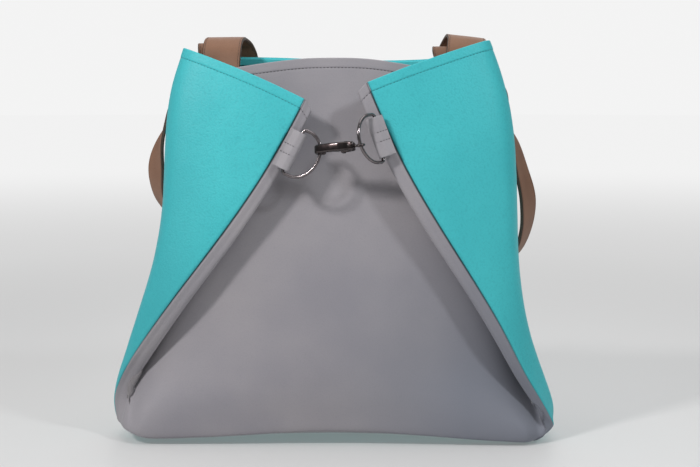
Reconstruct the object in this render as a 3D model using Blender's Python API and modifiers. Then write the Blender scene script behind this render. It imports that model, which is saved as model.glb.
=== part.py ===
"""Leather shoulder bag: a soft two-panel tote, its upper corners folded to the front and clipped together.

The teal panel makes the back and wraps round both sides to the front. The grey panel makes the front. It
joins the teal along two slanting seams, rolls round each flap's free edge, runs back behind the flap to a
hidden fold and then crosses the bag's front. Units are metres, +Z is up, and the front faces -Y.
"""

import math

import bmesh
import bpy
import numpy as np
from mathutils import Matrix, Vector

MM = 0.001

# Driving dimensions, in millimetres
LEATHER = 1.8  # wall of the two panels
SEAM_GAP = 1.4  # from each panel's edge to the seam line
STRAP_WIDTH = 38.0
STRAP_THICKNESS = 3.6
WIRE_RADIUS = 1.6  # of both D-rings
RING_HALF_WIDTH = 23.0  # of a D-ring's centre line, along its bar
RING_LEG = 7.0  # straight part of each leg
RING_DEPTH = 27.0  # from the bar to the middle of the bow
RING_CORNER = 3.2
TAB_LENGTH = 39.0  # along the bar
TAB_LEATHER = 1.5
TAB_REACH = 13.5  # from the middle of the loop to the tab's end at the seam
EYE_RADIUS = 3.6  # of the swivel eye's centre line
EYE_WIRE = 1.25
POST_RADIUS = 1.3
HOOK_THICKNESS = 8.5
GATE_THICKNESS = 4.4
GATE_SLOT = 5.0
HINGE_RADIUS = 1.1
HINGE_CLEARANCE = 0.08

# What the panels do at each height. side is the bag's outline, seam the teal and grey edge, fold the flap's
# rolled free edge and pleat the hidden fold behind the flap. pleat_share is 1 where the flap is folded and 0
# where the front runs plainly round the bottom corner.
HEIGHTS = (10, 35, 60, 85, 115, 150, 190, 230, 270, 310, 345, 385)
LEFT = {
    "side_x": (-217, -223, -216, -209, -200, -188, -172, -169, -170, -167, -164, -149),
    "side_front_y": (8, 2, -10, -22, -32, -37, -38, -37, -35, -31, -26, -18),
    "side_back_y": (24, 28, 30, 30, 29, 27, 24, 21, 19, 17, 15, 14),
    "seam_x": (-216, -220, -212, -198, -178.5, -152.5, -121, -90, -64, -41.5, -24, -6),
    "seam_y": (-5, -10, -24, -38, -49, -56, -60, -60, -57, -52, -46, -40),
    "fold_x": (-190, -190, -189, -179, -158, -132, -101, -73, -47, -26.5, -11, 4),
    "pleat_x": (-205, -204, -201, -194, -184, -171, -154, -148, -145, -141, -136, -124),
    "recess_y": (-52, -54, -50, -42, -38, -40, -42, -40, -35, -28, -20, -12),
    "pleat_share": (0, 0.15, 0.55, 0.9, 1, 1, 1, 1, 1, 1, 1, 1),
}
RIGHT = {
    "side_x": (217, 217, 208, 200, 191, 182.5, 180, 181, 181.5, 178, 172, 153),
    "side_front_y": (-2, -6, -16, -26, -34, -38, -39, -38, -36, -32, -27, -19),
    "side_back_y": (24, 28, 30, 30, 29, 27, 24, 21, 19, 17, 15, 14),
    "seam_x": (214, 205, 190, 177, 164, 143, 117, 91.5, 68, 49.5, 33, 24),
    "seam_y": (-26, -38, -47, -54, -60, -64, -65, -63, -59, -53, -47, -40),
    "fold_x": (190, 189, 176, 163, 148, 126, 98, 72, 51, 32, 20, 10),
    "pleat_x": (206, 203, 196, 188, 181, 171, 165, 162, 159, 154, 147, 132),
    "recess_y": (-58, -56, -44, -40, -42, -44, -44, -40, -35, -28, -20, -12),
    "pleat_share": (0, 0.45, 0.85, 1, 1, 1, 1, 1, 1, 1, 1, 1),
}
MIDDLE = {
    "front_y": (-53, -58, -60, -59, -56, -51, -44, -37, -30, -21, -13, -6),
    "back_y": (43, 49, 51, 51, 49, 46, 43, 40, 37, 35, 34, 33),
}
WALL_ROWS = (0.045, 0.12, 0.21, 0.32, 0.46, 0.61, 0.76, 0.89, 1.0)  # shares of the edge's height
UNDER_ROWS = (0.0, 0.3, 0.64, 0.92)  # shares of the grey panel's way under the bag, from its seam to the wall
SEAM_TOP = {"left": 337, "right": 353}
CORNER_TOP = {"left": 386, "right": 391}
FOLD_TOP = {"left": 325, "right": 343}
PLEAT_TOP = {"left": 360, "right": 362}
RECESS_TOP = {"left": 369, "right": 370}
FRONT_TOP = 376
BACK_TOP = 374
BASE_SEAM_Y = -40
BASE_SEAM_Z = 4.0
BASE_SEAM_RISE = 8.0  # more height of that seam in the middle, where the front edge lifts off the floor
BASE_HALF_LENGTH = 196
ARCH_RISE = 11  # of the front bottom edge in the middle


def smooth_step(share):
    share = min(max(share, 0.0), 1.0)
    return share * share * (3 - 2 * share)


def at_height(table, name, z):
    return float(np.interp(z, HEIGHTS, table[name]))


def mix(a, b, share):
    return tuple(p + (q - p) * share for p, q in zip(a, b))


def teal_half(side, table, share):
    """Points of one wall row of the teal panel, from the front seam round the side to the back."""

    def z_of(top):
        return share * top

    seam_z = z_of(SEAM_TOP[side])
    corner_z = z_of(CORNER_TOP[side])
    seam = (at_height(table, "seam_x", seam_z), at_height(table, "seam_y", seam_z), seam_z)
    side_x = at_height(table, "side_x", corner_z)
    front = (side_x, at_height(table, "side_front_y", corner_z), corner_z)
    back = (side_x, at_height(table, "side_back_y", corner_z), corner_z - 1)
    back_z = z_of(BACK_TOP)
    back_y = at_height(MIDDLE, "back_y", back_z)
    flap = mix(seam, front, 0.35)
    outer = mix(seam, front, 0.72)
    bulge = 3.0 * smooth_step((corner_z - 60) / 120)
    return [
        seam,
        (flap[0], flap[1] - bulge, flap[2]),
        (outer[0], outer[1] - bulge, outer[2]),
        front,
        back,
        (side_x * 0.84, back_y - 3, z_of(BACK_TOP + 3)),
        (side_x * 0.42, back_y, back_z),
    ]


def seam_under(side, table, share):
    """A point of the seam round the bottom corner: 0 is the end of the bottom seam, 1 the wall."""
    sign = -1 if side == "left" else 1
    start = (sign * BASE_HALF_LENGTH, BASE_SEAM_Y, BASE_SEAM_Z + 4)
    z = WALL_ROWS[0] * SEAM_TOP[side]
    end = (at_height(table, "seam_x", z), at_height(table, "seam_y", z), z)
    x, y, height = mix(start, end, share)
    return x, y, height - 9 * share * (1 - share)


def teal_rows():
    """Cage rows of the teal panel: the flat bottom first, then up the wall."""
    rows = []
    # Bottom rows from the seam under the bag to the back edge: share along the corner's seam, then distance
    # back and height in the middle
    base = (
        (0.0, BASE_SEAM_Y, BASE_SEAM_Z),
        (0.26, BASE_SEAM_Y + 11, 0.0),
        (0.5, -3, 0.0),
        (0.74, 23, 0.0),
        (0.93, 42, 0.0),
    )
    spread = (1.0, 0.985, 0.96, 0.93, 0.85, 0.66, 0.36)
    level = (0.0, 0.14, 0.36, 0.68, 1, 1, 1)
    arched = (0, 0, 0, 0, 0.1, 0.45, 0.9)
    for number, (share, y, z) in enumerate(base):
        lift = BASE_SEAM_RISE if number == 0 else 0
        halves = []
        for side, table in (("left", LEFT), ("right", RIGHT)):
            end = seam_under(side, table, share)
            halves.append(
                [
                    (
                        end[0] * spread[k],
                        end[1] + (y - end[1]) * level[k],
                        end[2] + (z - end[2]) * level[k] + lift * arched[k],
                    )
                    for k in range(7)
                ]
            )
        rows.append(halves[0] + [(0, y, z + lift)] + halves[1][::-1])
    for share in WALL_ROWS:
        left = teal_half("left", LEFT, share)
        right = teal_half("right", RIGHT, share)
        z = share * BACK_TOP
        rows.append(left + [(0, at_height(MIDDLE, "back_y", z), z)] + right[::-1])
    return rows


def grey_half(side, table, share):
    """Points of one wall row of the grey panel: seam, flap's edge, hidden fold, then the front."""
    sign = -1 if side == "left" else 1
    seam_z = share * SEAM_TOP[side]
    fold_z = share * FOLD_TOP[side]
    pleat_z = share * PLEAT_TOP[side]
    recess_z = share * RECESS_TOP[side]
    front_z = share * FRONT_TOP
    seam = (at_height(table, "seam_x", seam_z), at_height(table, "seam_y", seam_z), seam_z)
    fold = at_height(table, "fold_x", fold_z)
    pleat = at_height(table, "pleat_x", pleat_z)
    recess_y = at_height(table, "recess_y", recess_z)
    fold_y = at_height(table, "seam_y", fold_z)
    inner_y = at_height(table, "side_front_y", pleat_z) + 9
    pleated = [
        seam,
        ((seam[0] + fold) / 2, seam[1] - 1.5, (seam_z + fold_z) / 2),
        (fold, fold_y, fold_z),
        (fold, fold_y + 9, fold_z),
        (fold + sign * 9, fold_y + 10, fold_z + 2),
        ((fold + pleat) / 2, (fold_y + 10 + inner_y) / 2, (fold_z + pleat_z) / 2),
        (pleat, inner_y, pleat_z),
        (pleat, inner_y + 9, pleat_z),
        (pleat * 0.86, (inner_y + 9 + recess_y) / 2, (pleat_z + recess_z) / 2),
        (pleat * 0.68, recess_y, recess_z),
    ]
    front_y = at_height(MIDDLE, "front_y", front_z)
    recess = [
        (pleat * 0.46, (recess_y + front_y) / 2, (recess_z + front_z) / 2),
        (pleat * 0.22, front_y, front_z),
    ]
    plain = plain_corner(side, table, share, len(pleated))
    height = share * FOLD_TOP[side]
    keep = at_height(table, "pleat_share", height)
    folded = [mix(p, q, keep) for p, q in zip(plain, pleated)]
    return folded + recess


def plain_corner(side, table, share, count):
    """The same row where nothing is folded: points round the bottom corner from the seam to the front."""
    seam_z = share * SEAM_TOP[side]
    seam_x = at_height(table, "seam_x", seam_z)
    seam_y = at_height(table, "seam_y", seam_z)
    front_x = at_height(table, "fold_x", seam_z)
    front_y = at_height(table, "recess_y", seam_z)
    points = []
    for k in range(count):
        turn = math.pi / 2 * k / (count - 1)
        x = front_x + (seam_x - front_x) * math.cos(turn)
        y = seam_y + (front_y - seam_y) * math.sin(turn)
        points.append((x, y, share * FRONT_TOP))
    return points


def grey_rows():
    """Cage rows of the grey panel: under the bag first, then up the wall."""
    rows = []
    seam_middle = BASE_SEAM_Z + BASE_SEAM_RISE
    # Height in the middle and at the corners of each row under the bag
    under = ((seam_middle, BASE_SEAM_Z), (seam_middle, 1.0), (seam_middle, 0.3), (seam_middle + 2, 1.5))
    first = {"left": grey_half("left", LEFT, WALL_ROWS[0]), "right": grey_half("right", RIGHT, WALL_ROWS[0])}
    spread = (1.0, 0.995, 0.99, 0.985, 0.98, 0.97, 0.955, 0.935, 0.905, 0.86, 0.64, 0.32)
    level = (0.0, 0.08, 0.16, 0.26, 0.38, 0.5, 0.64, 0.78, 0.92, 1, 1, 1)
    arched = (0, 0, 0, 0, 0, 0.01, 0.03, 0.06, 0.12, 0.22, 0.55, 0.9)
    for share, (middle, low) in zip(UNDER_ROWS, under):
        halves = []
        for side, table in (("left", LEFT), ("right", RIGHT)):
            seam_end = seam_under(side, table, share)
            start = seam_under(side, table, 0)
            points = [(*seam_end[:2], seam_end[2] - 0.9 * (1 - share))]
            for k in range(1, len(spread)):
                wall = first[side][k]
                x, y, _ = mix((start[0] * spread[k], BASE_SEAM_Y, 0), wall, share)
                height = seam_end[2] + (low - seam_end[2]) * level[k] - 0.9 * (1 - share)
                points.append((x, y, height + (middle - low) * arched[k]))
            halves.append(points)
        y = BASE_SEAM_Y + (first["left"][-1][1] - BASE_SEAM_Y) * share
        rows.append(halves[0] + [(0, y, middle)] + halves[1][::-1])
    for share in WALL_ROWS:
        left = grey_half("left", LEFT, share)
        right = grey_half("right", RIGHT, share)
        z = share * FRONT_TOP
        middle = (0, at_height(MIDDLE, "front_y", z), z)
        row = left + [middle] + right[::-1]
        arch = ARCH_RISE * (1 - smooth_step(share / 0.2))
        rows.append([(x, y, z + arch * max(0, 1 - (x / 200) ** 2)) for x, y, z in row])
    return rows


def link(name, data, collection, surface):
    obj = bpy.data.objects.new(name, data)
    collection.objects.link(obj)
    data.materials.append(surface)
    return obj


def leather_panel(name, rows, collection, leather):
    """A panel from its cage: a grid whose points take the rows' places, smoothed, then given its wall."""
    rows_n, columns = len(rows), len(rows[0])
    mesh = bpy.data.meshes.new(name)
    cage = bmesh.new()
    bmesh.ops.create_grid(cage, x_segments=columns - 1, y_segments=rows_n - 1, size=0.5)
    for vert in cage.verts:
        column = round((vert.co.x + 0.5) * (columns - 1))
        row = round((vert.co.y + 0.5) * (rows_n - 1))
        vert.co = Vector(rows[row][column]) * MM
    cage.to_mesh(mesh)
    cage.free()
    panel = link(name, mesh, collection, leather)
    smooth = panel.modifiers.new("smooth", "SUBSURF")
    smooth.levels = smooth.render_levels = 1
    smooth.boundary_smooth = "PRESERVE_CORNERS"
    wall = panel.modifiers.new("wall", "SOLIDIFY")
    wall.thickness = LEATHER * MM
    wall.offset = 1
    wall.use_even_offset = False
    for polygon in mesh.polygons:
        polygon.use_smooth = True
    return panel


def pulled_back(rows, gap):
    """The rows with their seam edges moved back along the panel, so that the two panels don't touch."""
    moved = [list(row) for row in rows]
    for row in moved:
        for end, inner in ((0, 1), (-1, -2)):
            edge, next_in = Vector(row[end]), Vector(row[inner])
            row[end] = tuple(edge + (next_in - edge).normalized() * gap)
    for k, (edge, next_in) in enumerate(zip(moved[0], moved[1])):
        edge, next_in = Vector(edge), Vector(next_in)
        moved[0][k] = tuple(edge + (next_in - edge).normalized() * gap)
    return moved


def path_points(rows, count):
    """Evenly numbered points on a smooth line through the rows."""
    rows = np.array(rows, float)
    step = np.linalg.norm(np.diff(rows[:, :3], axis=0), axis=1)
    at = np.concatenate([[0], np.cumsum(step)])
    slope = np.gradient(rows, at, axis=0)
    found = []
    for s in np.linspace(0, at[-1], count):
        k = min(int(np.searchsorted(at, s, side="right")) - 1, len(at) - 2)
        gap = at[k + 1] - at[k]
        u = (s - at[k]) / gap
        found.append(
            (2 * u**3 - 3 * u**2 + 1) * rows[k]
            + (u**3 - 2 * u**2 + u) * gap * slope[k]
            + (3 * u**2 - 2 * u**3) * rows[k + 1]
            + (u**3 - u**2) * gap * slope[k + 1]
        )
    return np.array(found)


# Centre line of each handle and the turn of its width about the upright, in degrees: 0 points along +X
FRONT_HANDLE = (
    (-111, -12.6, 335, -14), (-111, -9.5, 355, -14), (-111, -6, 376, -8), (-110, 4, 393, 0),
    (-108, 19, 402, 0), (-105, 37, 402, 0), (-102, 50, 391, 0), (-101, 55, 374, 0), (-102, 59, 350, 0), (-108, 62, 320, 20),
    (-122, 66, 290, 55), (-135, 70, 262, 80), (-139, 73, 235, 90), (-130, 75, 205, 90), (-105, 76, 178, 90),
    (-55, 77, 162, 90), (10, 77, 158, 90), (70, 77, 162, 90), (122, 76, 178, 90), (149, 75, 205, 90),
    (157, 73, 235, 90), (152, 70, 262, 100), (138, 66, 290, 125), (123, 62, 320, 160), (117, 59, 350, 180),
    (118, 55, 374, 180), (122, 50, 391, 180), (126, 37, 402, 180), (129.5, 19, 402, 180), (129, 4, 393, 180),
    (127, -4.5, 376, 188), (125.5, -8, 355, 194), (125, -11, 335, 194),
)
BACK_HANDLE = (
    (-117, 22, 335, 10), (-117, 20.3, 360, 12), (-116.5, 19.9, 383, 12), (-117, 32, 395.5, 4), (-119, 42, 384, 0),
    (-124, 44, 368, 3), (-135, 46, 352, 15), (-148, 50, 338, 40), (-165, 56, 316, 80), (-178, 61, 290, 105),
    (-185, 65, 265, 118), (-181, 66, 235, 112), (-170, 68, 205, 100), (-150, 70, 165, 92), (-115, 72, 135, 90),
    (-60, 73, 119, 90), (10, 73, 114, 90), (80, 73, 120, 90), (133, 72, 140, 90), (165, 70.5, 158, 82),
    (184, 69, 178, 74), (196, 68, 202, 68), (199.5, 67, 228, 62), (192, 64, 262, 66), (181, 59, 298, 80),
    (165, 53, 329, 120), (151, 46, 351, 165), (130, 44, 368, 177), (119, 42, 384, 180), (118, 32, 395.5, 176),
    (117.5, 19.9, 383, 168), (118, 20.3, 360, 168), (118, 22, 335, 170),
)


def handle(name, rows, collection, leather):
    """A strap swept along its path: a grid of three points across, given its thickness."""
    path = path_points(rows, 50)
    mesh = bpy.data.meshes.new(name)
    cage = bmesh.new()
    bmesh.ops.create_grid(cage, x_segments=2, y_segments=len(path) - 1, size=0.5)
    for vert in cage.verts:
        across = vert.co.x * STRAP_WIDTH
        x, y, z, turn = path[round((vert.co.y + 0.5) * (len(path) - 1))]
        turn = math.radians(turn)
        vert.co = Vector((x + across * math.cos(turn), y + across * math.sin(turn), z)) * MM
    cage.to_mesh(mesh)
    cage.free()
    strap = link(name, mesh, collection, leather)
    wall = strap.modifiers.new("wall", "SOLIDIFY")
    wall.thickness = STRAP_THICKNESS * MM
    wall.offset = 0
    for polygon in mesh.polygons:
        polygon.use_smooth = True
    return strap


def frame_of(origin, along, out):
    """A right-handed frame at the origin: first axis along, second as near to out as it can be."""
    along = Vector(along).normalized()
    out = Vector(out)
    out = (out - along * out.dot(along)).normalized()
    normal = along.cross(out)
    made = Matrix((along, out, normal)).transposed().to_4x4()
    made.translation = Vector(origin) * MM
    return made


def ring_line():
    """A D-ring's centre line in its own plane: the bar along the first axis, the bow towards the second."""
    half, corner = RING_HALF_WIDTH, RING_CORNER
    line = [(x, 0) for x in (-half + corner, 0, half - corner)]
    for k in range(1, 5):
        turn = math.pi / 2 * k / 4
        line.append((half - corner + corner * math.sin(turn), corner * (1 - math.cos(turn))))
    for k in range(25):
        turn = math.pi * k / 24
        line.append((half * math.cos(turn), RING_LEG + (RING_DEPTH - RING_LEG) * math.sin(turn)))
    for k in range(3, -1, -1):
        turn = math.pi / 2 * (k + 1) / 4
        line.append((-half + corner - corner * math.sin(turn), corner * (1 - math.cos(turn))))
    return line


def bow_point(frame, degrees):
    """Where something hangs on the ring's bow, and the wire's direction there."""
    turn = math.radians(degrees)
    point = (RING_HALF_WIDTH * math.cos(turn), RING_LEG + (RING_DEPTH - RING_LEG) * math.sin(turn))
    way = (-RING_HALF_WIDTH * math.sin(turn), (RING_DEPTH - RING_LEG) * math.cos(turn))
    place = frame @ Vector((point[0] * MM, point[1] * MM, 0))
    return place, (frame.to_3x3() @ Vector((*way, 0))).normalized()


def wire(name, line, radius, frame, collection, metal):
    """A round wire along a closed line of points, as a curve with a bevel."""
    curve = bpy.data.curves.new(name, "CURVE")
    curve.dimensions = "3D"
    curve.bevel_depth = radius * MM
    curve.bevel_resolution = 2
    spline = curve.splines.new("POLY")
    spline.points.add(len(line) - 1)
    for point, place in zip(spline.points, line):
        point.co = (place[0] * MM, place[1] * MM, 0, 1)
    spline.use_cyclic_u = True
    made = link(name, curve, collection, metal)
    made.matrix_world = frame
    return made


def outline_solid(name, outline, thickness, frame, collection, paint, edge):
    """A plate cut to an outline in the frame's first two axes, with rounded edges, as a mesh."""
    curve = bpy.data.curves.new(name + "_outline", "CURVE")
    curve.dimensions = "2D"
    curve.fill_mode = "BOTH"
    curve.extrude = (thickness / 2 - edge) * MM
    curve.bevel_depth = edge * MM
    curve.offset = -edge * MM
    curve.bevel_resolution = 1
    spline = curve.splines.new("POLY")
    spline.points.add(len(outline) - 1)
    for point, place in zip(spline.points, outline):
        point.co = (place[0] * MM, place[1] * MM, 0, 1)
    spline.use_cyclic_u = True
    helper = bpy.data.objects.new(name + "_outline", curve)
    bpy.context.scene.collection.objects.link(helper)
    bpy.context.view_layer.update()
    mesh = bpy.data.meshes.new_from_object(helper.evaluated_get(bpy.context.evaluated_depsgraph_get()))
    bpy.data.objects.remove(helper, do_unlink=True)
    body = bmesh.new()
    body.from_mesh(mesh)
    bmesh.ops.remove_doubles(body, verts=body.verts, dist=0.00001)
    bmesh.ops.recalc_face_normals(body, faces=body.faces)
    body.to_mesh(mesh)
    body.free()
    mesh.materials.clear()
    made = link(name, mesh, collection, paint)
    made.matrix_world = frame
    return made


def tool(name, mesh_maker, frame, cutters):
    """A hidden mesh for a Boolean, made in the frame."""
    mesh = bpy.data.meshes.new(name)
    body = bmesh.new()
    mesh_maker(body)
    body.to_mesh(mesh)
    body.free()
    made = bpy.data.objects.new(name, mesh)
    cutters.objects.link(made)
    made.matrix_world = frame
    made.hide_render = True
    made.display_type = "WIRE"
    return made


def rod(radius, length, middle, axis):
    """A maker of a round rod: middle in millimetres, axis X or Z of the frame."""
    turn = Matrix.Rotation(math.pi / 2, 4, "Y") if axis == "X" else Matrix.Identity(4)

    def make(body):
        bmesh.ops.create_cone(
            body,
            cap_ends=True,
            segments=20,
            radius1=radius * MM,
            radius2=radius * MM,
            depth=length * MM,
            matrix=Matrix.Translation(Vector(middle) * MM) @ turn,
        )

    return make


def block(sizes, middle):
    def make(body):
        scale = Matrix.Diagonal((*(Vector(sizes) * MM), 1))
        bmesh.ops.create_cube(body, size=1, matrix=Matrix.Translation(Vector(middle) * MM) @ scale)

    return make


def boolean(obj, operation, other):
    cut = obj.modifiers.new(other.name, "BOOLEAN")
    cut.operation = operation
    cut.solver = "EXACT"
    cut.object = other


def ring_tab(name, frame, cavity, collection, leather):
    """A leather loop round the ring's bar: its section is a long U, both ends towards the seam."""
    low = TAB_LEATHER / 2 + 0.3
    turn_radius = WIRE_RADIUS + 0.45 + TAB_LEATHER / 2
    high = low + 2 * turn_radius
    flat = low + TAB_LEATHER + 0.3
    section = [(-TAB_REACH, flat), (-cavity - 4.5, flat)]
    section += [(-cavity - 1.2, (flat + high) / 2), (-cavity + 2, high)]
    for k in range(9):
        turn = math.pi * k / 8
        section.append((turn_radius * math.sin(turn), low + turn_radius * (1 + math.cos(turn))))
    section += [(-cavity, low), (-TAB_REACH, low)]
    mesh = bpy.data.meshes.new(name)
    cage = bmesh.new()
    bmesh.ops.create_grid(cage, x_segments=4, y_segments=len(section) - 1, size=0.5)
    for vert in cage.verts:
        out, height = section[round((vert.co.y + 0.5) * (len(section) - 1))]
        vert.co = Vector((vert.co.x * TAB_LENGTH, out, height)) * MM
    cage.to_mesh(mesh)
    cage.free()
    made = link(name, mesh, collection, leather)
    made.matrix_world = frame
    wall = made.modifiers.new("wall", "SOLIDIFY")
    wall.thickness = TAB_LEATHER * MM
    wall.offset = 0
    wall.use_even_offset = True
    for polygon in mesh.polygons:
        polygon.use_smooth = True
    return made


# Tabs: middle of the loop, direction along the bar and direction out to the bag's middle. The ring stands a
# little off the tab's middle, and its bow leans towards the front.
LEFT_TAB = ((-38, -56.9, 286.4), (0.457, 0.11, 0.889), (0.889, 0, -0.457))
RIGHT_TAB = ((39.6, -57.6, 299.2), (-0.354, 0.14, 0.935), (-0.935, 0, -0.354))
LEFT_RING = ((-39.2, -60.8, 288.4), (0.48, 0.11, 0.87), (0.84, -0.33, -0.43))
RIGHT_RING = ((42.5, -61.4, 300.3), (-0.2, 0.136, 0.963), (-0.70, -0.714, -0.012))
LEFT_CATCH = 56  # degrees along the bow from its upper end, where the hook holds
RIGHT_CATCH = 102  # the same for the swivel eye

# Snap hook, seen from the side: first number from the left ring's wire to the right, second to the spine
HOOK_OUTLINE = (
    (4.0, -5.9), (0.5, -5.8), (-2.6, -4.9), (-4.8, -3.0), (-5.7, 0), (-4.8, 3.0), (-2.6, 4.9), (0.5, 5.9),
    (5, 6.5), (12, 7.1), (20, 7.0), (26, 6.0), (29, 4.8), (33.6, 4.5), (34.6, 3.6), (34.6, -3.6), (33.6, -4.5),
    (29, -4.8), (26.5, -6.0), (24, -7.0), (21, -7.0), (19.2, -6.0), (18.8, -3.1), (21, -2.9), (25.5, -2.9),
    (28.4, -2.4), (28.9, -1.4), (28.9, 1.4), (28.4, 2.6), (26, 3.0), (18, 3.2), (8, 3.1), (1.5, 2.9),
    (-1.2, 2.3), (-2.3, 1.2), (-2.6, 0), (-2.3, -1.2), (-1.2, -2.3), (1.0, -2.9), (4.0, -3.0),
)
HINGE = (22.3, -4.9)
GATE_OUTLINE = (
    (4.5, -5.9), (4.4, -3.0), (12, -2.9), (19.5, -2.9), (22.3, -3.1), (23.7, -3.7), (24.1, -4.9), (23.7, -6.1),
    (22.3, -6.7), (19, -6.6), (17.2, -7.4), (16.2, -8.9), (14.6, -9.1), (12.6, -7.2), (10, -6.3),
)


def hardware(collection, cutters, leather, metal, dark):
    rings = {}
    for side, tab, ring, cavity in (("left", LEFT_TAB, LEFT_RING, 5.5), ("right", RIGHT_TAB, RIGHT_RING, 8.0)):
        place = frame_of(*tab)
        if place.to_3x3().col[2].y > 0:
            place = place @ Matrix.Rotation(math.pi, 4, "Y")
        ring_tab("ring_tab_" + side, place, cavity, collection, leather)
        rings[side] = frame_of(*ring)
        wire("d_ring_" + side, ring_line(), WIRE_RADIUS, rings[side], collection, metal)
    held, wire_way = bow_point(rings["left"], LEFT_CATCH)
    pulled, eye_way = bow_point(rings["right"], RIGHT_CATCH)
    span = (pulled - held).length / MM
    along = (pulled - held).normalized()
    # The hook's third axis follows the ring's wire through it, so its second, to the spine, faces the front.
    third = (wire_way - along * wire_way.dot(along)).normalized()
    if third.cross(along).y > 0:
        third = -third
    frame = Matrix((along, third.cross(along), third)).transposed().to_4x4()
    frame.translation = held
    hook = outline_solid("snap_hook", HOOK_OUTLINE, HOOK_THICKNESS, frame, collection, dark, 1.0)
    slot = tool("gate_slot", block((10, 9, GATE_SLOT), (20.5, -7.3, 0)), frame, cutters)
    bore = tool("post_bore", rod(POST_RADIUS + 0.3, 14, (34, 0, 0), "X"), frame, cutters)
    pin = tool("hinge_pin", rod(HINGE_RADIUS, HOOK_THICKNESS - 1.2, (*HINGE, 0), "Z"), frame, cutters)
    boolean(hook, "DIFFERENCE", slot)
    boolean(hook, "DIFFERENCE", bore)
    boolean(hook, "UNION", pin)
    hinge = frame @ Matrix.Translation(Vector((*HINGE, 0)) * MM)
    moved = [(x - HINGE[0], y - HINGE[1]) for x, y in GATE_OUTLINE]
    gate = outline_solid("snap_gate", moved, GATE_THICKNESS, hinge, collection, dark, 0.7)
    hole = tool("hinge_hole", rod(HINGE_RADIUS + HINGE_CLEARANCE, 12, (0, 0, 0), "Z"), hinge, cutters)
    boolean(gate, "DIFFERENCE", hole)
    # The eye closes round the right ring's wire, and its post turns in the hook's neck.
    eye_third = (eye_way - along * eye_way.dot(along)).normalized()
    middle = span + WIRE_RADIUS + 0.3 + EYE_WIRE - EYE_RADIUS
    eye_frame = Matrix((along, eye_third.cross(along), eye_third)).transposed().to_4x4()
    eye_frame.translation = held + along * middle * MM
    circle = [
        (EYE_RADIUS * math.cos(math.tau * k / 24), EYE_RADIUS * math.sin(math.tau * k / 24)) for k in range(24)
    ]
    helper = wire("eye_wire", circle, EYE_WIRE, Matrix.Identity(4), collection, dark)
    bpy.context.view_layer.update()
    mesh = bpy.data.meshes.new_from_object(helper.evaluated_get(bpy.context.evaluated_depsgraph_get()))
    bpy.data.objects.remove(helper, do_unlink=True)
    body = bmesh.new()
    body.from_mesh(mesh)
    bmesh.ops.remove_doubles(body, verts=body.verts, dist=0.00001)
    body.to_mesh(mesh)
    body.free()
    mesh.materials.clear()
    eye = link("swivel_eye", mesh, collection, dark)
    eye.matrix_world = eye_frame
    near = -EYE_RADIUS
    head_at = 27.2 - middle
    post = tool("post", rod(POST_RADIUS, near - head_at, ((near + head_at) / 2, 0, 0), "X"), eye_frame, cutters)
    head = tool("post_head", rod(2.2, 1.4, (head_at, 0, 0), "X"), eye_frame, cutters)
    boolean(eye, "UNION", post)
    boolean(eye, "UNION", head)
    for made in (hook, gate):
        for polygon in made.data.polygons:
            polygon.use_smooth = False


def material(name, colour, roughness, metallic=0.0):
    made = bpy.data.materials.new(name)
    made.use_nodes = True
    shader = made.node_tree.nodes["Principled BSDF"]
    shader.inputs["Base Color"].default_value = (*colour, 1)
    shader.inputs["Roughness"].default_value = roughness
    shader.inputs["Metallic"].default_value = metallic
    return made


def main():
    for obj in list(bpy.data.objects):
        bpy.data.objects.remove(obj, do_unlink=True)
    bag = bpy.data.collections.new("leather_shoulder_bag")
    bpy.context.scene.collection.children.link(bag)
    teal = material("teal_leather", (0.08, 0.55, 0.58), 0.5)
    grey = material("grey_leather", (0.27, 0.26, 0.28), 0.65)
    strap = material("strap_leather", (0.25, 0.145, 0.1), 0.5)
    tab = material("tab_leather", (0.37, 0.35, 0.37), 0.6)
    nickel = material("polished_nickel", (0.75, 0.74, 0.72), 0.15, 1.0)
    gunmetal = material("dark_gunmetal", (0.07, 0.05, 0.045), 0.25, 1.0)
    cutters = bpy.data.collections.new("cutters")
    bpy.context.scene.collection.children.link(cutters)
    cutters.hide_render = True
    leather_panel("back_panel", pulled_back(teal_rows(), SEAM_GAP), bag, teal)
    leather_panel("front_panel", pulled_back(grey_rows(), SEAM_GAP), bag, grey)
    handle("front_handle", FRONT_HANDLE, bag, strap)
    handle("back_handle", BACK_HANDLE, bag, strap)
    hardware(bag, cutters, tab, nickel, gunmetal)


main()
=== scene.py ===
import math

import bmesh
import bpy
import numpy as np
from mathutils import Matrix, Vector, noise


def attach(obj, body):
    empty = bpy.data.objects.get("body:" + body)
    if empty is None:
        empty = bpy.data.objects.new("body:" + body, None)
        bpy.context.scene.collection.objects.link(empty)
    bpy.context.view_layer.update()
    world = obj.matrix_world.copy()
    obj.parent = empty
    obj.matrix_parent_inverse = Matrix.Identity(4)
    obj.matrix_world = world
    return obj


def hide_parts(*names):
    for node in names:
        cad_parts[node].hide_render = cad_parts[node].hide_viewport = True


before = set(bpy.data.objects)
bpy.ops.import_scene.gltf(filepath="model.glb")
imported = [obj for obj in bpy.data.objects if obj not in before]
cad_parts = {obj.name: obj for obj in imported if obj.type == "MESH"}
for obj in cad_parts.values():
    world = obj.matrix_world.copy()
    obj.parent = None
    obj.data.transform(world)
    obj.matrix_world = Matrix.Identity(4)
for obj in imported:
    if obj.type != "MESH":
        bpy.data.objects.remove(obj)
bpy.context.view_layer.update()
mm = 0.001
scene = bpy.context.scene
print("frame loaded:", len(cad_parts), "nodes")


# ---- helpers for objects, meshes and nodes
def placed(name, data):
    made = bpy.data.objects.new(name, data)
    scene.collection.objects.link(made)
    return made


def meshFrom(body, name):
    mesh = bpy.data.meshes.new(name)
    body.to_mesh(mesh)
    body.free()
    return mesh


def smoothed(mesh):
    for polygon in mesh.polygons:
        polygon.use_smooth = True


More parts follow.
